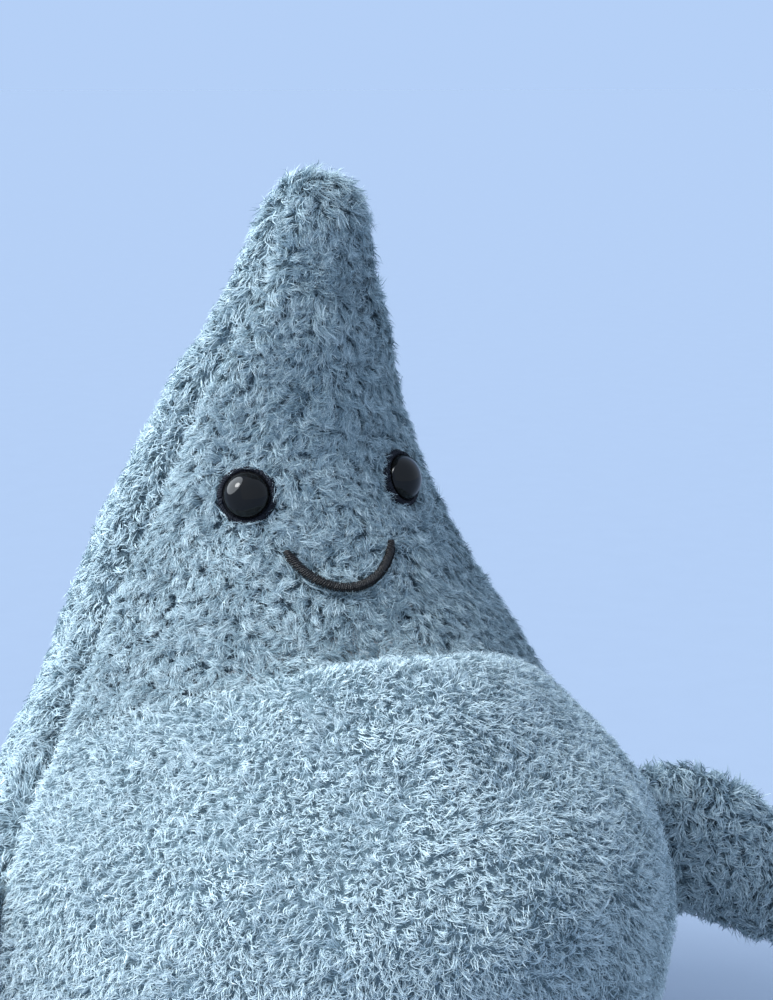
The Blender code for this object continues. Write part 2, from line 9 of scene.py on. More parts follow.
import bpy
import numpy as np
from mathutils import Matrix, Vector


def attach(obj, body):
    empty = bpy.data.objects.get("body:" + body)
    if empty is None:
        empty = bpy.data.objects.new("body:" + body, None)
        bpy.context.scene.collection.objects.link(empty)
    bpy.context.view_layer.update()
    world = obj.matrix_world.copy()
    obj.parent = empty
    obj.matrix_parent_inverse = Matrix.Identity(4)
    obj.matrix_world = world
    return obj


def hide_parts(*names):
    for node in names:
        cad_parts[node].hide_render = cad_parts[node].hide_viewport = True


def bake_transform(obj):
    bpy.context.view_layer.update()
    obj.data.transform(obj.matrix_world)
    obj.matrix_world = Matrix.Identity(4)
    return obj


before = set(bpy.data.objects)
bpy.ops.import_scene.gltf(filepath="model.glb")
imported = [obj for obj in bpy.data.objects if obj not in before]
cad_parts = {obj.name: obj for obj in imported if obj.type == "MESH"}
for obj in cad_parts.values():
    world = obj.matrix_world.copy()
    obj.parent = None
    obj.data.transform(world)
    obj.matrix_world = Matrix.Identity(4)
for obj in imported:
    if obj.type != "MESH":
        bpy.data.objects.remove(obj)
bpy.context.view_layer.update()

MM = 0.001
RNG = np.random.default_rng(7)

# ---- the shape, as the frame has it
# The body's sections, from the base up: height, half-width, middle in Y.
BODY = np.array([
    (0.0, 40.0, 0.0), (1.2, 50.0, 0.0), (6.0, 58.5, 0.0), (16.0, 66.5, -1.0),
    (32.0, 72.5, -2.5), (48.0, 73.8, -4.5), (64.0, 71.8, -6.0), (79.0, 67.2, -4.5),
    (96.0, 55.4, 5.0), (113.0, 45.5, 12.5), (129.0, 37.8, 16.5), (145.0, 30.2, 14.5),
    (160.0, 24.2, 9.5), (174.0, 17.9, 1.5), (186.0, 13.4, -3.5), (195.0, 10.8, -6.5),
    (201.0, 7.0, -8.0), (203.6, 1.5, -8.5),
]) * MM
RIM_HEIGHT = 6.0 * MM
SEAM_HEIGHTS = (60.0 * MM, 90.0 * MM, 110.0 * MM, 136.0 * MM, 200.0 * MM)
SEAM_ANGLES = (86.0, 85.0, 80.0, 71.0, 69.0)
CREASE_HEIGHT = 113.5 * MM
CREASE_DROP = 18.0 * MM
BELLY_PUSH = 17.0 * MM
BELLY_LIFT = 10.6 * MM
BELLY_ROLL = 19.0 * MM
BELLY_FADE = 2.4  # how fast the belly flattens towards the side seams
BELLY_LIFT_FALL = 0.6

EYE_HEIGHTS = {"left": 141.2 * MM, "right": 140.5 * MM}
EYE_ANGLE = 33.0
BEAD_RADIUS = 4.6 * MM
BEAD_DOME = 3.5 * MM
BEAD_SEAT = -1.6 * MM
RING_INNER = 4.60 * MM
RING_OUTER = 5.8 * MM
RING_HEIGHT = 0.95 * MM

MOUTH_HEIGHT = 130.2 * MM
MOUTH_DEPTH = 7.0 * MM
MOUTH_ANGLE = 17.5
MOUTH_TURN = -1.3
STITCH_WIDTH = 1.8 * MM

ROOT_CLEAR = 2.4 * MM
PECTORAL_ROOT = (68.0 * MM, 38.0 * MM)
PECTORAL_OUTLINE = (
    (0, 15), (10, 18), (27, 10), (43, -9), (52, -29), (45, -34), (28, -27), (12, -18), (1, -15),
)
PECTORAL_CENTRE = (21, -6)
DORSAL_ROOT = (128.0 * MM, 74.0 * MM)
DORSAL_OUTLINE = (
    (0, 25), (13, 19), (29, 4), (43, -19), (47, -31), (39, -34), (19, -27), (2, -25),
)
DORSAL_CENTRE = (18, -8)
TAIL_HINGE_Y = 86.0 * MM
TAIL_FIN_HINGE_Y = TAIL_HINGE_Y + 49.0 * MM
TAIL_FIN_OUTLINE = (
    (0, 28), (4, 41), (12, 57), (23, 68), (28, 65), (24, 50),
    (17, 35), (16, 23), (22, 11), (21, 3), (13, 3), (4, 9), (0, 18),
)
TAIL_FIN_CENTRE = (9, 26)

# ---- the looks' own dimensions
PILE_HEIGHT = 3.0 * MM  # from the cloth to the frame's surface
CLOTH = 1.0 * MM
FIN_CLOTH = 0.7 * MM
SEAM_DIP = 1.9 * MM  # how deep the cloth is drawn in at a seam
SEAM_REACH = 2.6 * MM
SEAM_TRIM = 0.62  # the share of a fibre's length that is caught in a seam
TRIM_REACH = 1.5 * MM
PUFF = 0.8 * MM  # how much it swells beside the seam
PUFF_PLACE = 7.5 * MM
PUFF_REACH = 4.0 * MM
LUMP = 0.45 * MM
BELLY_BULGE = 3.4 * MM  # how far the filling rounds the belly out, past the frame's flat slope
BELLY_BULGE_LEVEL = 1.2
FIN_PILE = 2.2 * MM
FILLING_INSET = 1.3 * MM


# ---- the body's surface
def along(table, place):
    """The Catmull-Rom curve through a table's rows, at places counted in rows."""
    place = np.asarray(place, float)
    last = len(table) - 1
    row = np.clip(np.floor(place).astype(int), 0, last - 1)
    part = (place - row)[..., None]
    before = table[np.maximum(row - 1, 0)]
    start = table[row]
    end = table[row + 1]
    after = table[np.minimum(row + 2, last)]
    linear = (end - before) * part
    square = (2 * before - 5 * start + 4 * end - after) * part**2
    cube = (3 * start - before - 3 * end + after) * part**3
    return 0.5 * (2 * start + linear + square + cube)


PLACES = np.linspace(0, len(BODY) - 1, 1200)
HEIGHTS = along(BODY, PLACES)[:, 0]
TIP_PLACE = len(BODY) - 1.0


def place_of(height):
    return np.interp(height, HEIGHTS, PLACES)


def seam_angle(height):
    return np.radians(np.interp(height, SEAM_HEIGHTS, SEAM_ANGLES))


def skin(level, turn):
    """Points of the frame's outer surface.

    level runs from 0 at the tip to 1 at the crease and 2 at the base's rim. turn is -1 to 1
    across the front, from side seam to side seam, and reaches -2 and 2 at the back seam.
    """
    level, turn = np.broadcast_arrays(np.asarray(level, float), np.asarray(turn, float))
    across = np.clip(turn, -1.0, 1.0)
    crease = CREASE_HEIGHT - CREASE_DROP * across**2
    upper = TIP_PLACE + (place_of(crease) - TIP_PLACE) * np.minimum(level, 1.0)
    low_height = crease + (RIM_HEIGHT - crease) * (level - 1.0)
    place = np.where(level <= 1.0, upper, place_of(low_height))
    height, half_width, middle = np.moveaxis(along(BODY, place), -1, 0)
    seam = seam_angle(height)
    behind = np.clip(np.abs(turn) - 1.0, 0.0, 1.0)
    angle = across * seam + np.sign(turn) * behind * (math.pi - seam)
    below = np.maximum(level - 1.0, 0.0) * (crease - RIM_HEIGHT)
    roll = np.clip(below / BELLY_ROLL, 0.0, 1.0)
    run = np.clip((below - BELLY_ROLL) / (crease - RIM_HEIGHT - BELLY_ROLL), 0.0, 1.0)
    fade = np.cos(across * math.pi / 2) ** BELLY_FADE
    push = BELLY_PUSH * fade * np.sin(roll * math.pi / 2) * (0.5 + 0.5 * np.cos(run * math.pi))
    lift = BELLY_LIFT * fade * np.sin(roll * math.pi) * (1.0 - roll) ** BELLY_LIFT_FALL
    x = half_width * np.sin(angle)
    y = middle - half_width * np.cos(angle) - push
    return np.stack([x, y, height + lift], axis=-1)


def skin_normal(level, turn):
    """Outward directions, shared by the panels on both sides of a seam."""
    step = 0.004
    level, turn = np.broadcast_arrays(np.asarray(level, float), np.asarray(turn, float))
    down = skin(level + step, turn) - skin(np.maximum(level - step, 0.0), turn)
    round_it = skin(level, turn + step) - skin(level, turn - step)
    normal = np.cross(down, round_it)
    return normal / np.linalg.norm(normal, axis=-1, keepdims=True)


def face_place(angle_degrees, height):
    """The level and turn of the face panel at an angle from its middle and a height."""
    turn = math.radians(angle_degrees) / float(seam_angle(height))
    crease = CREASE_HEIGHT - CREASE_DROP * turn**2
    level = (TIP_PLACE - place_of(height)) / (TIP_PLACE - place_of(crease))
    return float(level), turn


# ---- small number tools
def unit(vectors):
    return vectors / np.maximum(np.linalg.norm(vectors, axis=-1, keepdims=True), 1e-12)


def hump(distance, reach):
    return np.exp(-((distance / reach) ** 2))


class Swell:
    """A smooth field of random waves for each component, from about -1 to 1."""

    WAVES = 4
    LENGTHS = (0.7, 1.4)  # of a wave, against the field's own wavelength
    GAIN = 1.6

    def __init__(self, wavelength, components):
        ways = unit(RNG.normal(size=(components, self.WAVES, 3)))
        lengths = wavelength * RNG.uniform(*self.LENGTHS, (components, self.WAVES, 1))
        self.waves = ways * 2 * math.pi / lengths
        self.starts = RNG.uniform(0, 2 * math.pi, (components, self.WAVES))

    def __call__(self, points):
        phase = np.einsum("...k,cwk->...cw", points, self.waves) + self.starts
        return np.sin(phase).mean(axis=-1) * self.GAIN


LUMPS = Swell(24 * MM, 1)
COMBING = Swell(17 * MM, 3)
Swell(6 * MM, 3)  # not used: its draws keep every later random draw as it is


# ---- meshes
def linked(name, data):
    made = bpy.data.objects.new(name, data)
    bpy.context.scene.collection.objects.link(made)
    return made


def mesh_object(name, points, quads, triangles=(), slots=None):
    """A smooth-shaded mesh from arrays of quads and triangles, which keep their order."""
    quads = np.asarray(quads, np.int32).reshape(-1, 4)
    triangles = np.asarray(triangles, np.int32).reshape(-1, 3)
    mesh = bpy.data.meshes.new(name)
    mesh.vertices.add(len(points))
    mesh.vertices.foreach_set("co", np.asarray(points, np.float32).ravel())
    corners = np.concatenate([quads.ravel(), triangles.ravel()])
    mesh.loops.add(len(corners))
    mesh.loops.foreach_set("vertex_index", corners)
    starts = np.concatenate(
        [np.arange(len(quads)) * 4, quads.size + np.arange(len(triangles)) * 3]
    )
    mesh.polygons.add(len(starts))
    mesh.polygons.foreach_set("loop_start", starts.astype(np.int32))
    if slots is not None:
        mesh.polygons.foreach_set("material_index", np.asarray(slots, np.int32))
    mesh.update(calc_edges=True)
    mesh.shade_smooth()
    return linked(name, mesh)


def joined(*shapes):
    """One set of arrays from several (points, quads, triangles)."""
    points, quads, triangles, start = [], [], [], 0
    for some_points, some_quads, some_triangles in shapes:
        points.append(some_points)
        quads.append(np.asarray(some_quads, int).reshape(-1, 4) + start)
        triangles.append(np.asarray(some_triangles, int).reshape(-1, 3) + start)
        start += len(some_points)
    return np.concatenate(points), np.concatenate(quads), np.concatenate(triangles)


def round_faces(rings, sides):
    """The walls and the end fans of rings of points that are followed by their two end points."""
    ring, side = np.meshgrid(np.arange(rings - 1), np.arange(sides), indexing="ij")
    a = (ring * sides + side).ravel()
    b = (ring * sides + (side + 1) % sides).ravel()
    quads = np.stack([a, b, b + sides, a + sides], axis=-1)
    near = np.arange(sides)
    beside = (near + 1) % sides
    last = (rings - 1) * sides
    head = np.stack([beside, near, np.full(sides, rings * sides)], axis=-1)
    tail = np.stack([near + last, beside + last, np.full(sides, rings * sides + 1)], axis=-1)
    return quads, np.concatenate([head, tail])


OFF_AXIS = np.array([0.013, 0.007, 0.011])  # keeps a thread's guide off its own direction


def tubes(paths, radii, sides=6):
    """Round threads along many paths with equal counts of points, closed at both ends."""
    count, steps = paths.shape[:2]
    tangents = unit(np.gradient(paths, axis=1))
    guide = unit(paths.mean(axis=1) - paths[:, 0] + 1e-6)[:, None, :]
    first = unit(np.cross(tangents, guide + OFF_AXIS))
    second = np.cross(tangents, first)
    around = (np.arange(sides) * 2 * math.pi / sides)[:, None]
    ring = first[:, :, None] * np.cos(around) + second[:, :, None] * np.sin(around)
    radii = np.broadcast_to(radii, (count, steps))[:, :, None, None]
    walls = (paths[:, :, None] + ring * radii).reshape(count, steps * sides, 3)
    points = np.concatenate([walls, paths[:, :1], paths[:, -1:]], axis=1)
    quads, fans = round_faces(steps, sides)
    start = (np.arange(count) * points.shape[1])[:, None, None]
    quads, fans = (quads[None] + start).reshape(-1, 4), (fans[None] + start).reshape(-1, 3)
    return points.reshape(-1, 3), quads, fans


def lathe(profile, centre, axis, segments=72):
    """A turned closed shape: its profile runs from the axis to the axis."""
    axis = unit(np.asarray(axis))
    first = unit(np.cross(axis, (0.0, 0.0, 1.0)))
    second = np.cross(axis, first)
    around = np.arange(segments) * 2 * math.pi / segments
    ways = first * np.cos(around)[:, None] + second * np.sin(around)[:, None]
    profile = np.asarray(profile)
    body = centre + ways[None] * profile[1:-1, None, :1] + axis * profile[1:-1, None, 1:]
    ends = centre + axis * profile[[0, -1], 1:]
    points = np.concatenate([body.reshape(-1, 3), ends])
    return points, *round_faces(len(profile) - 2, segments)


def grid_quads(rows, columns, start=0, flip=False):
    i, j = np.meshgrid(np.arange(rows - 1), np.arange(columns - 1), indexing="ij")
    a = (start + i * columns + j).ravel()
    quads = np.stack([a, a + 1, a + columns + 1, a + columns], axis=-1)
    return quads[:, ::-1] if flip else quads


def grid_edge(rows, columns):
    """The grid's border, in order, as point numbers."""
    edge = list(range(columns))
    edge += [i * columns + columns - 1 for i in range(1, rows)]
    edge += [(rows - 1) * columns + j for j in range(columns - 2, -1, -1)]
    edge += [i * columns for i in range(rows - 2, 0, -1)]
    return np.array(edge)


class Sheet:
    """A grid of points with its outward normals, to make cloth of and to grow pile on."""

    def __init__(self, points, inward, full_length=None):
        rows, columns = points.shape[:2]
        self.full_length = np.ones(rows * columns) if full_length is None else full_length.ravel()
        self.shape = (rows, columns)
        self.points = points.reshape(-1, 3)
        quads = grid_quads(rows, columns)
        self.triangles = np.concatenate([quads[:, [0, 1, 2]], quads[:, [0, 2, 3]]])
        a, b, c = (self.points[self.triangles[:, k]] for k in range(3))
        facing = np.cross(b - a, c - a)
        normals = np.zeros_like(self.points)
        for k in range(3):
            np.add.at(normals, self.triangles[:, k], facing)
        self.normals = unit(normals)
        self.turned = np.einsum("ij,ij->", self.normals, inward.reshape(-1, 3)) > 0
        if self.turned:
            self.normals = -self.normals
        self.areas = np.linalg.norm(facing, axis=1) / 2

    def cloth(self, name, thickness, finish):
        """A closed shell of the sheet, as thick as its cloth."""
        rows, columns = self.shape
        under = rows * columns
        points = np.concatenate([self.points, self.points - self.normals * thickness])
        outer = grid_quads(rows, columns, 0, self.turned)
        inner = grid_quads(rows, columns, under, not self.turned)
        a = grid_edge(rows, columns)
        b = np.roll(a, -1)
        rim = np.stack([b, a, a + under, b + under], axis=-1)
        if self.turned:
            rim = rim[:, ::-1]
        made = mesh_object(name, points, np.concatenate([outer, inner, rim]))
        made.data.materials.append(finish)
        return made

    def scatter(self, count):
        """Random even places on the sheet: their points, normals and shares of full length."""
        run = np.cumsum(self.areas)
        chosen = np.searchsorted(run, RNG.uniform(0, run[-1], count))
        corners = self.triangles[np.minimum(chosen, len(run) - 1)]
        u, v = RNG.uniform(size=(2, count, 1))
        over = u + v > 1
        u, v = np.where(over, 1 - u, u), np.where(over, 1 - v, v)
        share = np.concatenate([1 - u - v, u, v], axis=1)[..., None]
        root = (self.points[corners] * share).sum(axis=1)
        normal = unit((self.normals[corners] * share).sum(axis=1))
        return root, normal, (self.full_length[corners] * share[..., 0]).sum(axis=1)


# ---- materials
def finish(name, colour, roughness, **extras):
    """A Principled material with constant sockets."""
    made = bpy.data.materials.new(name)
    made.use_nodes = True
    shader = made.node_tree.nodes["Principled BSDF"]
    shader.inputs["Base Color"].default_value = (*colour, 1.0)
    shader.inputs["Roughness"].default_value = roughness
    for socket, value in extras.items():
        shader.inputs[socket.replace("_", " ")].default_value = value
    return made


def node(made, kind, **values):
    new = made.node_tree.nodes.new(kind)
    for key, value in values.items():
        if key in new.inputs:
            new.inputs[key].default_value = value
        else:
            setattr(new, key, value)
    return new


MOTTLE_ENDS = (0.36, 0.66)  # the noise values where the dark and the light colour are whole
ROUGHNESS_SPREAD = 0.08
BUMP_DISTANCE = 0.0004


def mottled(name, dark, light, roughness, scale, bump, bump_scale, **extras):
    """A material whose colour, roughness and bump all come from noise in object space."""
    made = finish(name, light, roughness, **extras)
    tree = made.node_tree
    shader = tree.nodes["Principled BSDF"]
    place = node(made, "ShaderNodeTexCoord")
    noise = node(made, "ShaderNodeTexNoise", Scale=scale, Detail=5.0, Roughness=0.65)
    tree.links.new(place.outputs["Object"], noise.inputs["Vector"])
    ramp = node(made, "ShaderNodeValToRGB")
    for element, position, colour in zip(ramp.color_ramp.elements, MOTTLE_ENDS, (dark, light)):
        element.position = position
        element.color = (*colour, 1.0)
    tree.links.new(noise.outputs["Fac"], ramp.inputs["Fac"])
    tree.links.new(ramp.outputs["Color"], shader.inputs["Base Color"])
    spread = node(made, "ShaderNodeMapRange")
    spread.inputs["To Min"].default_value = roughness - ROUGHNESS_SPREAD
    spread.inputs["To Max"].default_value = min(roughness + ROUGHNESS_SPREAD, 1.0)
    tree.links.new(noise.outputs["Fac"], spread.inputs["Value"])
    tree.links.new(spread.outputs["Result"], shader.inputs["Roughness"])
    fine = node(made, "ShaderNodeTexNoise", Scale=bump_scale, Detail=3.0)
    tree.links.new(place.outputs["Object"], fine.inputs["Vector"])
    raised = node(made, "ShaderNodeBump", Strength=bump, Distance=BUMP_DISTANCE)
    tree.links.new(fine.outputs["Fac"], raised.inputs["Height"])
    tree.links.new(raised.outputs["Normal"], shader.inputs["Normal"])
    return made


# The backing's colours are darker than the pile's: painted shade in the gaps between the tufts,
# over a mottled tone.
CLOTH_FINISH = mottled(
    "plush_backing", (0.110, 0.165, 0.190), (0.190, 0.265, 0.300), 0.9, 900.0, 0.8, 2600.0
)
# Five shades of one fibre colour. The darker ones, mostly at fibres' feet, are painted shade deep
# in the pile. The paler ones, mostly at their tips, are painted light on the tips. Which one a
# fibre takes also varies at random.
PILE_COLOURS = (
    ("pile_root", (0.085, 0.130, 0.150)),
    ("pile_deep", (0.205, 0.285, 0.318)),
    ("pile_mid", (0.345, 0.440, 0.472)),
    ("pile_light", (0.470, 0.570, 0.600)),
    ("pile_tip", (0.600, 0.700, 0.725)),
)
PILE_FINISHES = [
    finish(
        name, colour, 0.72, Specular_IOR_Level=0.25,
        Sheen_Weight=0.35, Sheen_Roughness=0.5, Sheen_Tint=(0.55, 0.72, 0.85, 1.0),
    )
    for name, colour in PILE_COLOURS
]
MOST_FACES = 199_500  # in one piece
# How often a fibre's foot, its middle and its tip take each of the five colours.
# The face's mix is the darkest: painted shade over the face and in the gaps between its tufts.
FACE_SHADE_MIX = (
    (0.70, 0.30, 0.0, 0.0, 0.0), (0.15, 0.36, 0.33, 0.16, 0.0), (0.0, 0.16, 0.34, 0.34, 0.16),
)
BACK_MIX = (
    (0.35, 0.45, 0.20, 0.0, 0.0), (0.05, 0.32, 0.42, 0.21, 0.0), (0.0, 0.10, 0.38, 0.40, 0.12),
)
# The belly's mix leaves out the darkest colour and takes more pale ones: painted light on the
# belly's top, and less contrast between its fibres.
BELLY_LIGHT_MIX = (
    (0.0, 0.15, 0.50, 0.35, 0.0), (0.0, 0.05, 0.35, 0.45, 0.15), (0.0, 0.0, 0.15, 0.45, 0.40),
)
BEAD_FINISH = mottled(
    "bead_black", (0.004, 0.004, 0.004), (0.006, 0.005, 0.004), 0.07, 160.0, 0.02, 900.0,
    Specular_IOR_Level=0.25,
)
THREAD_FINISH = mottled(
    "black_thread", (0.004, 0.004, 0.004), (0.014, 0.011, 0.010), 0.32, 2500.0, 0.5, 6000.0,
    Specular_IOR_Level=0.40,
)
RING_FINISH = mottled(
    "navy_black_thread", (0.004, 0.005, 0.009), (0.010, 0.013, 0.022), 0.60, 2500.0, 0.5, 6000.0,
    Specular_IOR_Level=0.2,
)
BASE_FINISH = mottled(
    "base_knit", (0.15, 0.22, 0.28), (0.24, 0.33, 0.40), 0.88, 700.0, 0.7, 1800.0,
    Sheen_Weight=0.5,
)
RIBBON_FINISH = mottled(
    "ribbon_satin", (0.74, 0.75, 0.76), (0.86, 0.87, 0.88), 0.45, 1200.0, 0.35, 3500.0,
    Sheen_Weight=0.2,
)
# What is inside, by a word in its frame node's name.
INNER_LOOKS = {
    "stuffing": ("filling_fibre", (0.62, 0.62, 0.60), (0.86, 0.86, 0.84), 0.95, 300.0, 1.0, 900.0),
    "pouch": ("pouch_cotton", (0.60, 0.59, 0.55), (0.76, 0.75, 0.71), 0.9, 900.0, 0.5, 2500.0),
    "fill": ("pellet_plastic", (0.70, 0.69, 0.64), (0.86, 0.85, 0.80), 0.5, 400.0, 1.0, 420.0),
    "washer": ("washer_plastic", (0.68, 0.69, 0.70), (0.80, 0.81, 0.82), 0.35, 300.0, 0.1, 900.0),
    "backing": ("backing_felt", (0.70, 0.70, 0.68), (0.88, 0.88, 0.86), 0.95, 700.0, 0.7, 1800.0),
    "stitches": ("blue_thread", (0.14, 0.21, 0.27), (0.26, 0.35, 0.42), 0.6, 1500.0, 0.5, 4000.0),
}
INNER_FINISHES = {word: mottled(*look) for word, look in INNER_LOOKS.items()}


# ---- pile
# Each cover's pile: how many fibres, their length and width, and the size of a tuft.
FACE_PILE = (125000, 3.2 * MM, 0.145 * MM, 1.4 * MM)
BELLY_PILE = (158000, 2.9 * MM, 0.15 * MM, 1.0 * MM)
BACK_PILE = (79500, 3.4 * MM, 0.22 * MM, 1.25 * MM)
BELLY_LIE = 0.7
FIN_FIBRE = 3.3 * MM
TAIL_FIBRE = 4.0 * MM
FIN_FIBRE_WIDTH = 0.25 * MM
FIN_TUFT = 1.4 * MM
PLAIN_TIMES = (0.0, 0.36, 0.70, 1.0)  # how far along a fibre its points are
FINE_TIMES = (0.0, 0.28, 0.54, 0.79, 1.0)
WIDTH_TIMES, WIDTH_SHARES = (0.0, 0.35, 0.70, 1.0), (0.8, 1.0, 0.8, 0.0)
FIBRE_WIDTHS = (0.75, 1.25)
FIBRE_LENGTHS = (0.75, 1.15)
FIBRE_ROLL = 0.55  # how far a fibre's flat side turns, in radians
SCRAMBLE = np.array([(127.1, 269.5, 419.2), (311.7, 183.3, 371.9), (74.7, 246.1, 124.6)])
SCRAMBLE_GAIN = 43758.5453
TUFT_MARGIN = 0.1  # of a grid cell, kept clear of tufts' middles on each side
TUFT_SPREAD = 0.8
TUFT_TONE = 0.5  # how far a fibre's colour follows its tuft
TUFT_LENGTHS = (0.80, 1.20)
TUFT_HOOK, FIBRE_HOOK = 0.38, 0.12  # sideways bends
NAP_FALL = 0.8  # how far the nap hangs
COMB_PULL, TUFT_PULL, FIBRE_PULL = 0.9, 0.80, 0.22  # against the fall
UPRIGHT = (0.80, 1.08)
RISE, RISE_FALL = 1.02, 0.38
LEAN, LEAN_GAIN = 0.26, 0.46
GATHER, GATHER_POWER = 0.62, 1.2  # how far a tuft's fibres close up
CURLS = (0.05, 0.15)
CURL_TURNS = (0.6, 1.2)
CURL_ONSET = 3
FLOOR_GAP = 0.25 * MM


def pick(odds, chance):
    return np.searchsorted(np.cumsum(odds[:-1]), chance)


def ribbons(name, paths, widths, normals, slots):
    """Thin fibres along paths: strips of quads with pointed tips, and one slot for each face."""
    count, steps = paths.shape[:2]
    tangents = unit(np.gradient(paths, axis=1))
    side = unit(np.cross(tangents, normals[:, None, :]))
    roll = RNG.normal(0.0, FIBRE_ROLL, (count, 1, 1))
    side = side * np.cos(roll) + np.cross(tangents, side) * np.sin(roll)
    spread = side * widths[:, :, None] / 2
    pairs = np.stack([paths - spread, paths + spread], axis=2)[:, :-1]
    points = np.concatenate([pairs.reshape(count, -1, 3), paths[:, -1:]], axis=1).reshape(-1, 3)
    start = np.arange(count)[:, None] * (2 * steps - 1)
    quads = np.stack([start + 2 * k + [0, 1, 3, 2] for k in range(steps - 2)], axis=1)
    tips = start + 2 * (steps - 2) + [0, 1, 2]
    made = mesh_object(
        name, points, quads, tips, np.concatenate([slots[:, :-1].ravel(), slots[:, -1]])
    )
    for material in PILE_FINISHES:
        made.data.materials.append(material)
    return made


def scrambled(cells):
    """Three random-looking numbers from 0 to 1 for each whole-number cell, always the same."""
    mixed = np.sin(cells @ SCRAMBLE) * SCRAMBLE_GAIN
    return mixed - np.floor(mixed)


def tufts_of(root, size):
    """Each root's nearest tuft: its number and its middle. Each cell of a grid holds one."""
    home = np.floor(root / size)
    best = np.full(len(root), np.inf)
    cell = np.zeros_like(root)
    middle = np.zeros_like(root)
    for step in np.ndindex(3, 3, 3):
        near = home + np.array(step) - 1
        spot = (near + TUFT_MARGIN + TUFT_SPREAD * scrambled(near)) * size
        distance = ((root - spot) ** 2).sum(axis=1)
        closer = distance < best
        best[closer] = distance[closer]
        cell[closer] = near[closer]
        middle[closer] = spot[closer]
    member = np.unique(cell.astype(np.int64), axis=0, return_inverse=True)[1].ravel()
    return member, middle


def pile_paths(root, normal, length, tuft_size, lie, times, avoid):
    """Curled paths gathered into tufts, and each path's tuft. lie is how far they lean over."""
    count = len(root)
    member, middle = tufts_of(root, tuft_size)
    tufts = member.max() + 1
    tuft_way = RNG.normal(size=(tufts, 3))
    tuft_length = RNG.uniform(*TUFT_LENGTHS, tufts)
    tuft_hook = RNG.normal(0.0, TUFT_HOOK, tufts)
    brushed = (
        np.array([0.0, 0.0, -NAP_FALL])
        + COMBING(root) * COMB_PULL
        + tuft_way[member] * TUFT_PULL
        + RNG.normal(size=(count, 3)) * FIBRE_PULL
    )
    lean = unit(brushed - normal * np.einsum("ij,ij->i", brushed, normal)[:, None])
    across = np.cross(normal, lean)
    long = (length * tuft_length[member] * RNG.uniform(*FIBRE_LENGTHS, count))[:, None]
    upright = RNG.uniform(*UPRIGHT, (count, 1))
    gather = middle - root
    gather -= normal * np.einsum("ij,ij->i", gather, normal)[:, None]
    hook = (tuft_hook[member] + RNG.normal(0.0, FIBRE_HOOK, count))[:, None] * long
    curl = RNG.uniform(*CURLS, (count, 1)) * long
    spin = RNG.uniform(0, 2 * math.pi, (count, 1))
    turns = RNG.uniform(*CURL_TURNS, (count, 1)) * 2 * math.pi
    paths = []
    for t in times:
        rise = upright * (RISE * t - RISE_FALL * t * t)
        reach = lie * (LEAN * t + LEAN_GAIN * t * t)
        swirl = curl * min(CURL_ONSET * t, 1.0)
        point = root + normal * long * rise + lean * long * reach
        point += gather * GATHER * t**GATHER_POWER
        point += across * (swirl * np.sin(spin + turns * t) + hook * t * t)
        point += lean * swirl * np.cos(spin + turns * t)
        paths.append(point)
    paths = np.stack(paths, axis=1)
    for keep_off in avoid:
        paths = keep_off(paths)
    paths[..., 2] = np.maximum(paths[..., 2], FLOOR_GAP)
    return paths, member


def make_pile(
    name, sheet, count, length, width, tuft_size,
    mix=BACK_MIX, lie=1.0, avoid=(), bare=None, times=PLAIN_TIMES,
):
    """Pile over a sheet, in as few height bands as keep each under MOST_FACES."""
    root, normal, full_length = sheet.scatter(count)
    if bare is not None:
        kept = ~bare(root)
        root, normal, full_length = root[kept], normal[kept], full_length[kept]
        count = len(root)
    paths, member = pile_paths(
        root, normal, length * full_length, tuft_size, lie, times, avoid
    )
    fibre = width * RNG.uniform(*FIBRE_WIDTHS, (count, 1))
    widths = fibre * np.interp(times, WIDTH_TIMES, WIDTH_SHARES)
    tone = RNG.uniform(size=member.max() + 1)[member]
    foot, middle, tip = mix
    odds = (foot, *[middle] * (len(times) - 3), tip)
    chances = [TUFT_TONE * tone + (1 - TUFT_TONE) * RNG.uniform(size=count) for _ in odds]
    slots = np.stack([pick(some, chance) for some, chance in zip(odds, chances)], axis=1)
    faces = 2 * len(times) - 3  # a fibre's triangles
    bands = np.array_split(np.argsort(-root[:, 2]), math.ceil(count * faces / MOST_FACES))
    return [
        ribbons(f"{name}_{number}", paths[band], widths[band], normal[band], slots[band])
        for number, band in enumerate(bands, 1)
    ]


# ---- body covers
BODY_AXIS_Y = 5 * MM
CREASE_SPAN = 80  # millimetres for one unit of level, about
CREASE_DEPTH = 2.0 * MM
CREASE_REACH = 3.0 * MM
BELLY_BULGE_REACH = 0.09  # in level
# Soft creases in the nap: height, turn, half-width in turn, depth.
FOLDS = (
    (179.0 * MM, 0.30, 0.40, 1.1 * MM),
    (166.0 * MM, -0.30, 0.35, 0.6 * MM),
    (117.5 * MM, 0.20, 0.30, 0.9 * MM),
    (121.5 * MM, -0.45, 0.25, 0.6 * MM),
    (149.0 * MM, 0.02, 0.20, 0.5 * MM),
)
FOLD_REACH = 1.7 * MM
FOLD_WAVE = 3 * MM
DEEPEST = 3.2 * MM  # at the tip, and DEEPER millimetres more from TIP_LEVEL on
DEEPER = 3
TIP_LEVEL = 0.1


def seam_distances(turn, points):
    """How far points of the body are from the side seam and from the back seam."""
    round_it = np.hypot(points[..., 0], points[..., 1] - BODY_AXIS_Y)
    seam = seam_angle(points[..., 2])
    span = np.where(np.abs(turn) <= 1.0, seam, math.pi - seam)
    return np.abs(np.abs(turn) - 1.0) * round_it * span, (2.0 - np.abs(turn)) * round_it * span


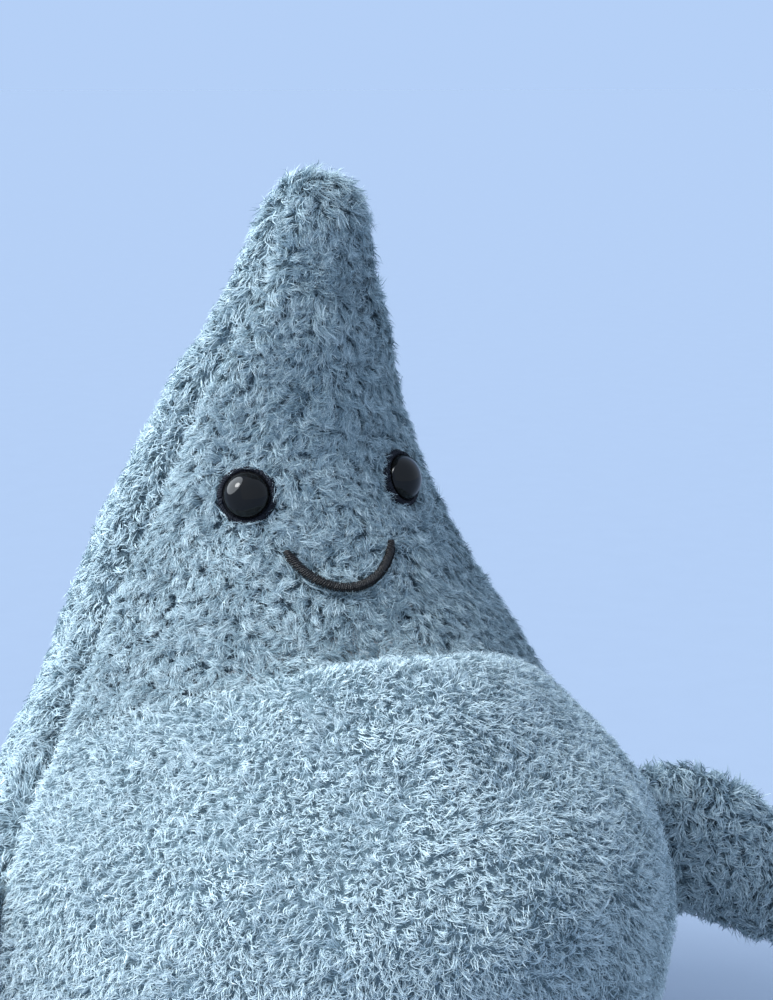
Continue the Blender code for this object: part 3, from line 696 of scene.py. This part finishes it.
def relief(level, turn):
    """How deep the cloth lies under the frame's surface."""
    points = skin(level, turn)
    front = np.abs(turn) <= 1.0
    depth = PILE_HEIGHT - LUMP * LUMPS(points)[..., 0]
    for distance in seam_distances(turn, points):
        depth = depth + SEAM_DIP * hump(distance, SEAM_REACH)
        depth = depth - PUFF * hump(distance - PUFF_PLACE, PUFF_REACH)
    crease = hump(np.abs(level - 1.0) * CREASE_SPAN * MM, CREASE_REACH)
    depth = depth + np.where(front, CREASE_DEPTH * crease * (1 - turn**4), 0.0)
    belly = hump(level - BELLY_BULGE_LEVEL, BELLY_BULGE_REACH)
    belly = belly * np.cos(np.clip(turn, -1, 1) * math.pi / 2) ** 2
    depth = depth - BELLY_BULGE * belly
    for fold_height, fold_turn, fold_wide, fold_deep in FOLDS:
        line = points[..., 2] - fold_height - FOLD_WAVE * np.sin(turn * 3.0)
        depth = depth + fold_deep * hump(line, FOLD_REACH) * hump(turn - fold_turn, fold_wide)
    tip = np.clip(level / TIP_LEVEL, 0.0, 1.0)
    return np.minimum(depth, DEEPEST + tip * DEEPER * MM)


def body_sheet(levels, turns):
    level, turn = np.meshgrid(levels, turns, indexing="ij")
    normal = skin_normal(np.maximum(level, 0.02), turn)
    points = skin(level, turn)
    full_length = np.ones_like(level)
    for distance in seam_distances(turn, points):
        full_length = full_length * (1.0 - SEAM_TRIM * hump(distance, TRIM_REACH))
    return Sheet(points - normal * relief(level, turn)[..., None], -normal, full_length)


EYE_LAP = (0.90, 1.04)  # how near to the ring's outer edge fibres come
EYE_DEPTH = 9 * MM
MOUTH_LAP = (1.02, 1.45)  # the same, against half of the smile's width
MOUTH_REACH = 16 * MM
MOUTH_BARE = 0.42


def dressed(piece, node_name, body):
    """A piece that stands for a frame node and rides on its body."""
    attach(piece, body)
    if node_name:
        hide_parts(node_name)
    return piece


def eye_frame(side):
    sign = {"left": 1, "right": -1}[side]
    level, turn = face_place(sign * EYE_ANGLE, EYE_HEIGHTS[side])
    return skin(level, turn), skin_normal(level, turn)


def mouth_line(count, proud):
    """The smile's points and the surface's normals there."""
    points, normals = [], []
    for part in np.linspace(-1.0, 1.0, count):
        height = MOUTH_HEIGHT - MOUTH_DEPTH * (1.0 - part**2) ** 0.8
        level, turn = face_place(MOUTH_TURN + MOUTH_ANGLE * part, height)
        normals.append(skin_normal(level, turn))
        points.append(skin(level, turn) + normals[-1] * proud)
    return np.array(points), np.array(normals)


def off_eye(side):
    """Keeps fibres out of an eye's bead, and lets them lap a little over its ring."""
    centre, axis = eye_frame(side)

    def push(paths):
        arm = paths - centre
        along_axis = arm @ axis
        radial = arm - along_axis[..., None] * axis
        distance = np.linalg.norm(radial, axis=-1)
        limit = RING_OUTER * RNG.uniform(*EYE_LAP, (len(paths), 1))
        near = (distance < limit) & (np.abs(along_axis) < EYE_DEPTH)
        pushed = centre + unit(radial) * limit[..., None] + along_axis[..., None] * axis
        return np.where(near[..., None], pushed, paths)

    return push


def off_mouth(paths):
    """Keeps fibres beside the sewn smile."""
    line, normals = mouth_line(90, 0.0)
    flat = paths.reshape(-1, 3).copy()
    near = np.where(np.linalg.norm(flat - line.mean(axis=0), axis=1) < MOUTH_REACH)[0]
    gap = flat[near, None, :] - line[None]
    gap -= normals[None] * np.einsum("ijk,jk->ij", gap, normals)[..., None]
    distance = np.linalg.norm(gap, axis=-1)
    closest = distance.argmin(axis=1)
    rows = np.arange(len(near))
    shortest = distance[rows, closest]
    limit = STITCH_WIDTH * 0.5 * RNG.uniform(*MOUTH_LAP, len(near))
    inside = shortest < limit
    way = unit(gap[rows, closest])
    flat[near[inside]] += way[inside] * (limit - shortest)[inside, None]
    return flat.reshape(paths.shape)


def bare_face(root):
    """Where no pile grows: under the eyes and under the smile."""
    found = np.zeros(len(root), bool)
    for side in EYE_HEIGHTS:
        centre, axis = eye_frame(side)
        arm = root - centre
        radial = arm - (arm @ axis)[:, None] * axis
        found |= (np.linalg.norm(radial, axis=1) < RING_OUTER - 0.5 * MM) & (
            np.linalg.norm(arm, axis=1) < 12 * MM
        )
    line = mouth_line(60, -PILE_HEIGHT)[0]
    distance = np.linalg.norm(root[:, None, :] - line[None], axis=-1).min(axis=1)
    return found | (distance < STITCH_WIDTH * MOUTH_BARE)


def make_body():
    """The four covers. Their rows are closer together at the tip and under the crease."""
    face_levels = np.concatenate([np.linspace(0.0, 0.1, 12)[:-1], np.linspace(0.1, 1.0, 70)])
    belly_levels = 1.0 + np.linspace(0.0, 1.0, 80) ** 1.25
    front = np.linspace(-1.0, 1.0, 81)
    left = np.linspace(1.0, 2.0, 56)
    face = body_sheet(face_levels, front)
    belly = body_sheet(belly_levels, front)
    whole = np.concatenate([face_levels, belly_levels[1:]])
    back = {"left": body_sheet(whole, left), "right": body_sheet(whole, -left[::-1])}
    for name, sheet in (("face", face), ("belly", belly)):
        cloth = sheet.cloth(name + "_cloth", CLOTH, CLOTH_FINISH)
        dressed(cloth, name + "_panel", "body")
    avoid = (off_eye("left"), off_eye("right"), off_mouth)
    piles = make_pile(
        "face_pile", face, *FACE_PILE, FACE_SHADE_MIX, avoid=avoid, bare=bare_face, times=FINE_TIMES
    )
    piles += make_pile("belly_pile", belly, *BELLY_PILE, BELLY_LIGHT_MIX, lie=BELLY_LIE)
    for side, sheet in back.items():
        name = "back_" + side
        cloth = sheet.cloth(name + "_cloth", CLOTH, CLOTH_FINISH)
        dressed(cloth, "back_panel_" + side, "body")
        piles += make_pile(name + "_pile", sheet, *BACK_PILE)
    for pile in piles:
        dressed(pile, None, "body")


# ---- eyes and smile
RING_STITCHES = 78
RING_JITTER = 0.012  # radians
RING_SLANT = 0.05
RING_PAD, RING_PAD_HEIGHT = 0.8, 0.9  # the core, against the whole ring
STITCH_STEP = 0.42 * MM
STITCH_JITTER = 0.03 * MM
STITCH_SLANT = 0.32 * MM
STITCH_RISE = 0.62 * MM
STITCH_SINK = 0.35 * MM
TAPER_LENGTH = 2.0 * MM
TAPER_END = 0.60
PAD_SINK = 0.25 * MM
PAD_RADIUS = 0.58 * MM
THREAD = 0.20 * MM


def made_piece(name, shape, material):
    piece = mesh_object(name, *shape)
    piece.data.materials.append(material)
    return piece


def make_bead(side):
    """A moulded bead: its dome, a fine rim, the flange and the stem."""
    centre, axis = eye_frame(side)
    swing = np.radians(np.linspace(0, 90, 22))
    foot = BEAD_SEAT + 0.7 * MM
    dome = np.stack([BEAD_RADIUS * np.sin(swing), foot + BEAD_DOME * np.cos(swing)], axis=-1)
    lower = np.array([
        (BEAD_RADIUS + 0.06 * MM, foot - 0.12 * MM),
        (BEAD_RADIUS + 0.06 * MM, BEAD_SEAT + 0.3 * MM),
        (BEAD_RADIUS - 0.4 * MM, BEAD_SEAT),
        (1.5 * MM, BEAD_SEAT),
        (1.5 * MM, BEAD_SEAT - 7.5 * MM),
        (1.0 * MM, BEAD_SEAT - 8.0 * MM),
        (0.0, BEAD_SEAT - 8.0 * MM),
    ])
    shape = lathe(np.concatenate([dome, lower]), centre, axis)
    bead = made_piece("eye_bead_" + side, shape, BEAD_FINISH)
    dressed(bead, "bead_eye_" + side, "body")


def make_eye_ring(side):
    """A ring of overcast stitches over a padded core."""
    centre, axis = eye_frame(side)
    first = unit(np.cross(axis, (0.0, 0.0, 1.0)))
    second = np.cross(axis, first)
    middle = (RING_INNER + RING_OUTER) / 2
    half = (RING_OUTER - RING_INNER) / 2
    turn = np.linspace(0, 2 * math.pi, RING_STITCHES, endpoint=False)
    turn = (turn + RNG.normal(0, RING_JITTER, RING_STITCHES))[:, None]
    across = np.linspace(-1.0, 1.0, 7)[None]
    reach = half * RNG.uniform(0.92, 1.22, (RING_STITCHES, 1))
    radius = middle + reach * across
    height = BEAD_SEAT + RING_HEIGHT * np.sqrt(1.02 - across**2) * RNG.uniform(
        0.92, 1.08, (RING_STITCHES, 1)
    )
    angle = turn + RING_SLANT * across
    way = first * np.cos(angle)[..., None] + second * np.sin(angle)[..., None]
    paths = centre + way * radius[..., None] + axis * height[..., None]
    lap = np.radians(np.linspace(90, 450, 13))
    core_radius = middle + RING_PAD * half * np.cos(lap)
    core_height = BEAD_SEAT + RING_PAD_HEIGHT * RING_HEIGHT * np.sin(lap)
    core = np.stack([core_radius, core_height], axis=-1)
    closed = np.concatenate([[[0.0, core[0, 1]]], core, [[0.0, core[-1, 1] - 0.01 * MM]]])
    threads = tubes(paths, 1.15 * THREAD)
    shape = joined(threads, lathe(closed, centre, axis))
    ring = made_piece("eye_stitching_" + side, shape, RING_FINISH)
    dressed(ring, "eye_ring_" + side, "body")


def make_smile():
    """Satin stitches laid side by side across a padded line, narrower at its two ends."""
    line, normals = mouth_line(400, 0.0)
    steps = np.linalg.norm(np.diff(line, axis=0), axis=1)
    run = np.concatenate([[0.0], np.cumsum(steps)])
    count = int(run[-1] / STITCH_STEP)
    places = np.linspace(0.0, run[-1], count)[:, None] + RNG.normal(0, STITCH_JITTER, (count, 1))
    across = np.linspace(-1.0, 1.0, 8)[None]
    slant = STITCH_SLANT * across * RNG.uniform(0.7, 1.3, (count, 1))

    def read(table, where):
        return np.stack([np.interp(where, run, table[:, k]) for k in range(3)], axis=-1)

    spot = read(line, places + slant)
    normal = unit(read(normals, places + slant))
    tangent = unit(read(line, places + slant + 0.5 * MM) - read(line, places + slant - 0.5 * MM))
    side = unit(np.cross(normal, tangent))
    from_end = np.minimum(places, run[-1] - places)
    taper = TAPER_END + (1 - TAPER_END) * np.clip(from_end / TAPER_LENGTH, 0.0, 1.0) ** 0.7
    half = STITCH_WIDTH / 2 * taper * RNG.uniform(0.92, 1.10, (count, 1))
    high = STITCH_RISE * np.sqrt(1.03 - across**2) * RNG.uniform(0.85, 1.12, (count, 1))
    paths = spot + side * (half * across)[..., None] + normal * (high - STITCH_SINK)[..., None]
    pad_line = line[::8] - normals[::8] * PAD_SINK
    shape = joined(tubes(paths, THREAD), tubes(pad_line[None], PAD_RADIUS, 10))
    smile = made_piece("smile_stitching", shape, THREAD_FINISH)
    dressed(smile, "mouth_stitching", "body")


# ---- fins and tail
PUCKER = 0.25 * MM  # the gathers along a fin's edge
PUCKERS = 31
FIN_EDGE = 0.999  # the share of the way out where a fin's two panels meet
FIN_GAP = 0.3 * MM
FIN_EDGE_INSET = FIN_PILE - 0.7 * MM
FIN_LUMP = 0.35
ROOT_BEND = (-2.5 * MM, 5 * MM)  # distances from a fin's hinge, handed to bend_over


def outline_by_angle(knots, centre, angles):
    """Where the smooth closed curve through the knots lies, at angles round its centre."""
    knots = np.array(knots) * MM
    loop = np.array([knots[-1], *knots, knots[0], knots[1]], float)
    fine = along(loop, np.linspace(1.0, len(knots) + 1.0, 900)[:-1])
    arm = fine - centre
    bearing = np.arctan2(arm[:, 1], arm[:, 0])
    order = np.argsort(bearing)
    bearing, arm = bearing[order], arm[order]
    return np.stack(
        [np.interp(angles, bearing, arm[:, k], period=2 * math.pi) for k in range(2)], axis=-1
    )


def disc(rows):
    """A square grid bent into a round one: each point's distance from the middle, and angle."""
    a, b = np.meshgrid(np.linspace(-1, 1, rows), np.linspace(-1, 1, rows), indexing="ij")
    x = a * np.sqrt(1 - b * b / 2)
    y = b * np.sqrt(1 - a * a / 2)
    return np.minimum(np.hypot(x, y), 1.0), np.arctan2(y, x)


def placed(local, place):
    matrix = np.array(place)
    return local @ matrix[:3, :3].T + matrix[:3, 3]


def pillow_sheet(knots, centre, half_thick, fullness, side, place, root_reach, root_zone):
    """One panel of a sewn flat fin, whose root runs on into what it is sewn to."""
    centre = np.array(centre) * MM
    share, angle = disc(46)
    spoke = outline_by_angle(knots, centre, angle)
    reach = np.linalg.norm(spoke, axis=-1, keepdims=True)
    spoke = spoke * (1.0 - FIN_EDGE_INSET / reach)
    flat = centre + spoke * share[..., None]
    crown = half_thick - FIN_PILE
    pucker = PUCKER * np.sin(angle * PUCKERS) * share**8
    rise = crown * np.maximum(1.0 - share**2, 0.0) ** fullness
    inside = share < FIN_EDGE
    rise = rise + pucker * inside + FIN_GAP * inside
    root = np.clip(1.0 - flat[..., 0] / root_zone, 0.0, 1.0)
    flat[..., 0] -= root_reach * root
    local = np.concatenate([flat, side * rise[..., None]], axis=-1)
    points = placed(local, place)
    inward = placed(np.array([0.0, 0.0, -side]), place) - placed(np.zeros(3), place)
    lump = LUMPS(points)[..., :1] * FIN_LUMP * MM * (1 - share[..., None] ** 4)
    return Sheet(points - inward * lump, np.broadcast_to(inward, points.shape))


def bend_over(piece, body, onward, place, start, end):
    """Bakes the piece's placing into its mesh."""
    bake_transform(piece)


def seam_place(height, angle):
    """A point of the body's plain sections, at a height and an angle from the face's middle."""
    z, half_width, middle = along(BODY, place_of(height))
    return Vector((half_width * math.sin(angle), middle - half_width * math.cos(angle), z))


def root_frame(top, low, outward):
    """A fin's own frame: X outward, Y up the root line, Z through the fin's thickness."""
    up = (top - low).normalized()
    out = Vector(outward)
    out = (out - up * out.dot(up)).normalized()
    through = out.cross(up)
    made = Matrix((out, up, through)).transposed().to_4x4()
    made.translation = (top + low) / 2 + out * ROOT_CLEAR
    return made


def upright_place(y):
    """A frame with local X along +Y, local Y up and local Z along +X."""
    made = Matrix(((0, 0, 1), (1, 0, 0), (0, 1, 0))).to_4x4()
    made.translation = Vector((0.0, y, 0.0))
    return made


def filling(name, sheets):
    """A closed form a little inside both of a fin's sheets."""
    shrunk = [sheet.points - sheet.normals * FILLING_INSET for sheet in sheets]
    count = len(shrunk[0])
    rows, columns = sheets[0].shape
    quads = [
        grid_quads(rows, columns, k * count, sheet.turned) for k, sheet in enumerate(sheets)
    ]
    a = grid_edge(rows, columns)
    b = np.roll(a, -1)
    quads.append(np.stack([b, a, a + count, b + count], axis=-1))
    made = mesh_object(name, np.concatenate(shrunk), np.concatenate(quads))
    made.data.materials.append(INNER_FINISHES["stuffing"])
    return made


def clothe_fin(name, sides, sheets, parent_body, place, bend, count, length=FIN_FIBRE):
    """Cloth and pile for both panels of a fin, and the filling between them."""
    for side_name, sheet in zip(sides, sheets):
        node_name = f"{name}_panel_{side_name}"
        cloth = sheet.cloth(f"{name}_{side_name}_cloth", FIN_CLOTH, CLOTH_FINISH)
        piles = make_pile(
            f"{name}_{side_name}_pile", sheet, count, length, FIN_FIBRE_WIDTH, FIN_TUFT
        )
        for piece in (cloth, *piles):
            bend_over(piece, parent_body, name, place, *bend)
        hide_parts(node_name)
    stuffed = filling(name + "_filling", sheets)
    bend_over(stuffed, parent_body, name, place, *bend)
    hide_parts(name + "_stuffing")


def make_fins():
    for side, sign in (("left", 1), ("right", -1)):
        high, low = PECTORAL_ROOT
        top = seam_place(high, sign * float(seam_angle(high)))
        bottom = seam_place(low, sign * float(seam_angle(low)))
        place = root_frame(top, bottom, (sign, -0.12, 0.0))
        sheets = [
            pillow_sheet(
                PECTORAL_OUTLINE, PECTORAL_CENTRE, 6.5 * MM, 0.62, way, place, 5.5 * MM, 8 * MM
            )
            for way in (sign, -sign)
        ]
        clothe_fin(
            "pectoral_fin_" + side, ("rear", "front"), sheets, "body", place, ROOT_BEND, 11000
        )
    high, low = DORSAL_ROOT
    place = root_frame(seam_place(high, math.pi), seam_place(low, math.pi), (0, 1, 0))
    sheets = [
        pillow_sheet(DORSAL_OUTLINE, DORSAL_CENTRE, 6.0 * MM, 0.62, way, place, 5.5 * MM, 8 * MM)
        for way in (1, -1)
    ]
    clothe_fin("dorsal_fin", ("left", "right"), sheets, "body", place, ROOT_BEND, 10000)
    place = upright_place(TAIL_FIN_HINGE_Y)
    sheets = [
        pillow_sheet(
            TAIL_FIN_OUTLINE, TAIL_FIN_CENTRE, 5.4 * MM, 0.6, way, place, 8 * MM, 9 * MM
        )
        for way in (1, -1)
    ]
    clothe_fin(
        "tail_fin", ("left", "right"), sheets, "tail", place, (-4 * MM, 6 * MM), 8000
    )


# The tail's stations from its hinge: place, underside, top, half-thickness.
TAIL_STATIONS = np.array([
    (-26, 3.5, 42, 19.0), (-14, 3.0, 42, 18.2), (0, 2.6, 41, 17.4), (12, 3.2, 38, 16.2),
    (24, 5.0, 33, 13.6), (34, 8.2, 29, 10.4), (41, 12.0, 26, 7.4), (45.5, 16.0, 23, 4.2),
    (47.0, 18.8, 20.2, 0.8),
]) * MM


TAIL_CORE_HEIGHT = 18 * MM
TAIL_GROOVE, TAIL_GROOVE_REACH = 1.4 * MM, 2.4 * MM  # along the tail's seams
TAIL_PUFF, TAIL_PUFF_PLACE, TAIL_PUFF_REACH = 0.5 * MM, 6 * MM, 3 * MM
TAIL_LUMP = 0.5


def tail_sheet(side):
    """One side of the tail, from its upper seam to its lower one."""
    rows = along(TAIL_STATIONS, np.linspace(0, len(TAIL_STATIONS) - 1, 60))
    swing = np.linspace(-math.pi / 2, math.pi / 2, 44)[None]
    x, low, top, half = (rows[:, k : k + 1] for k in range(4))
    inset = FIN_PILE * np.clip((47 * MM - x) / (6 * MM), 0.1, 1.0)
    half, low, top = half - inset, low + inset * 0.9, top - inset
    middle, tall = (low + top) / 2, (top - low) / 2
    from_seam = tall * (math.pi / 2 - np.abs(swing))
    groove = TAIL_GROOVE * hump(from_seam, TAIL_GROOVE_REACH)
    groove = groove - TAIL_PUFF * hump(from_seam - TAIL_PUFF_PLACE, TAIL_PUFF_REACH)
    local = np.stack(
        [
            x + 0 * swing,
            middle + (tall - groove * 0.8) * np.sin(swing),
            side * np.maximum(half - groove, 0.3 * MM) * np.cos(swing),
        ],
        axis=-1,
    )
    place = upright_place(TAIL_HINGE_Y)
    points = placed(local, place)
    centre = placed(local * [1, 0, 0] + [0, TAIL_CORE_HEIGHT, 0], place)
    inward = unit(centre - points)
    lump = LUMPS(points)[..., :1] * TAIL_LUMP * MM
    return Sheet(points - inward * lump, inward)


def make_tail():
    sheets = [tail_sheet(side) for side in (1, -1)]
    clothe_fin(
        "tail", ("left", "right"), sheets, "body", upright_place(TAIL_HINGE_Y),
        (-13 * MM, 13 * MM), 15000, TAIL_FIBRE,
    )


# ---- base, label and what is inside
BASE_PROFILE = ((0.0, 40.0, 50.0, 55.2, 57.0), (0.0, 0.0, 1.2, 3.4, 5.7))
RIBBON_PATH = (
    (55.0, 6.6), (62.0, 7.0), (70.0, 6.0), (76.5, 4.2), (77.6, 3.8), (77.4, 3.2),
    (76.0, 3.1), (69.0, 4.9), (62.0, 6.0), (55.0, 5.9),
)
RIBBON_ANGLE = 150.0
RIBBON_WIDE = 14.0 * MM
RIBBON_THICK = 0.22 * MM
RIBBON_WAVE = 0.5 * MM
BASE_GATHER = 0.35 * MM
BASE_GATHERS = 24


def make_base():
    """The flat sewn bottom, gathered where its edge turns up."""
    share, angle = disc(70)
    radius = share * BASE_PROFILE[0][-1] * MM
    height = np.interp(radius, *(np.array(row) * MM for row in BASE_PROFILE))
    height = height + BASE_GATHER * np.abs(np.sin(angle * BASE_GATHERS)) * share**14
    points = np.stack([radius * np.sin(angle), -radius * np.cos(angle), height], axis=-1)
    inward = np.broadcast_to([0.0, 0.0, 1.0], points.shape)
    base = Sheet(points, inward).cloth("base_cloth", CLOTH, BASE_FINISH)
    dressed(base, "base_panel", "body")


def make_label():
    """A blank ribbon, folded double and caught in the base seam."""
    knots = np.array(RIBBON_PATH) * MM
    path = along(knots, np.linspace(0, len(knots) - 1, 60))
    side = np.linspace(-0.5, 0.5, 15)
    angle = math.radians(RIBBON_ANGLE)
    out = np.array([math.sin(angle), -math.cos(angle), 0.0])
    wide = np.array([math.cos(angle), math.sin(angle), 0.0])
    wave = RIBBON_WAVE * np.sin(side * 5.0)[None] * np.linspace(0, 1, 60)[:, None] * 0.5
    points = (
        out * path[:, None, :1]
        + wide * (side * RIBBON_WIDE)[None, :, None]
        + np.array([0.0, 0.0, 1.0]) * (path[:, None, 1:] + wave[..., None])
    )
    inward = np.cross(np.broadcast_to(wide, points.shape), np.gradient(points, axis=0))
    ribbon = Sheet(points, inward).cloth("ribbon_label", RIBBON_THICK, RIBBON_FINISH)
    dressed(ribbon, "care_label", "body")


def dress_inside():
    """Better materials for the pieces that stay inside the toy."""
    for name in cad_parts:
        for word, material in INNER_FINISHES.items():
            if word in name:
                for slot in bpy.data.objects[name].material_slots:
                    slot.material = material


# ---- stage, light and camera
# Where each light comes from, in the camera's own left, up and towards it.
KEY_WAY = (0.77, 0.62, 0.13)
KEY_ANGLE = 65.0
KEY_STRENGTH = 6.4
KEY_COLOUR = (0.86, 0.94, 1.0)
FRONT_WAY = (0.62, 0.66, 0.44)
FRONT_ANGLE = 18.0
FRONT_STRENGTH = 2.0
FRONT_COLOUR = (0.97, 0.97, 0.97)
FILL_WAY = (-0.75, 0.30, 0.60)
FILL_ANGLE = 150.0
FILL_STRENGTH = 0.55
FILL_COLOUR = (1.0, 0.85, 0.45)
SKY = (0.46, 0.63, 0.93)
CAMERA_PLACE = (-0.1728, -0.3923, 0.2192)
CAMERA_ROTATION = (79.0, 0.0, -26.0)
LENS = 77.33
FLOOR_HALF = 60.0


def sun_light(name, toward, angle, strength, colour):
    """An even soft light from a direction, as wide as its angle in degrees."""
    data = bpy.data.lights.new(name, "SUN")
    data.angle = math.radians(angle)
    data.energy = strength
    data.color = colour
    made = linked(name, data)
    made.location = toward
    made.rotation_euler = toward.to_track_quat("Z", "Y").to_euler()


def make_stage():
    data = bpy.data.cameras.new("camera")
    data.lens = LENS
    data.sensor_width = 36.0
    data.clip_start = 0.02
    camera = linked("camera", data)
    camera.location = CAMERA_PLACE
    camera.rotation_euler = [math.radians(angle) for angle in CAMERA_ROTATION]
    bpy.context.scene.camera = camera

    turn = camera.rotation_euler.to_matrix()
    left, up, near = -turn.col[0], turn.col[1], turn.col[2]
    key, front, fill = (
        (left * way[0] + up * way[1] + near * way[2]).normalized()
        for way in (KEY_WAY, FRONT_WAY, FILL_WAY)
    )
    sun_light("key_light", key, KEY_ANGLE, KEY_STRENGTH, KEY_COLOUR)
    sun_light("front_light", front, FRONT_ANGLE, FRONT_STRENGTH, FRONT_COLOUR)
    sun_light("fill_light", fill, FILL_ANGLE, FILL_STRENGTH, FILL_COLOUR)

    points = [(x * FLOOR_HALF, y * FLOOR_HALF, 0) for x, y in ((-1, -1), (1, -1), (1, 1), (-1, 1))]
    floor = mesh_object("floor", points, [(0, 1, 2, 3)])
    lit = (
        KEY_STRENGTH * key.z * np.array(KEY_COLOUR)
        + FRONT_STRENGTH * front.z * np.array(FRONT_COLOUR)
        + FILL_STRENGTH * fill.z * np.array(FILL_COLOUR)
    ) / math.pi
    paper = [sky / (sky + light) for sky, light in zip(SKY, lit)]
    floor.data.materials.append(
        mottled(
            "floor_paper", [0.985 * part for part in paper], paper, 0.9, 60.0, 0.05, 900.0,
            Specular_IOR_Level=0.0,
        )
    )

    world = bpy.data.worlds.new("studio")
    world.use_nodes = True
    sky = world.node_tree.nodes["Background"]
    sky.inputs["Color"].default_value = (*SKY, 1.0)
    sky.inputs["Strength"].default_value = 1.0
    bpy.context.scene.world = world
    bpy.context.scene.view_settings.view_transform = "Standard"


make_stage()
make_body()
for eye_side in EYE_HEIGHTS:
    make_bead(eye_side)
    make_eye_ring(eye_side)
make_smile()
make_fins()
make_tail()
make_base()
make_label()
dress_inside()
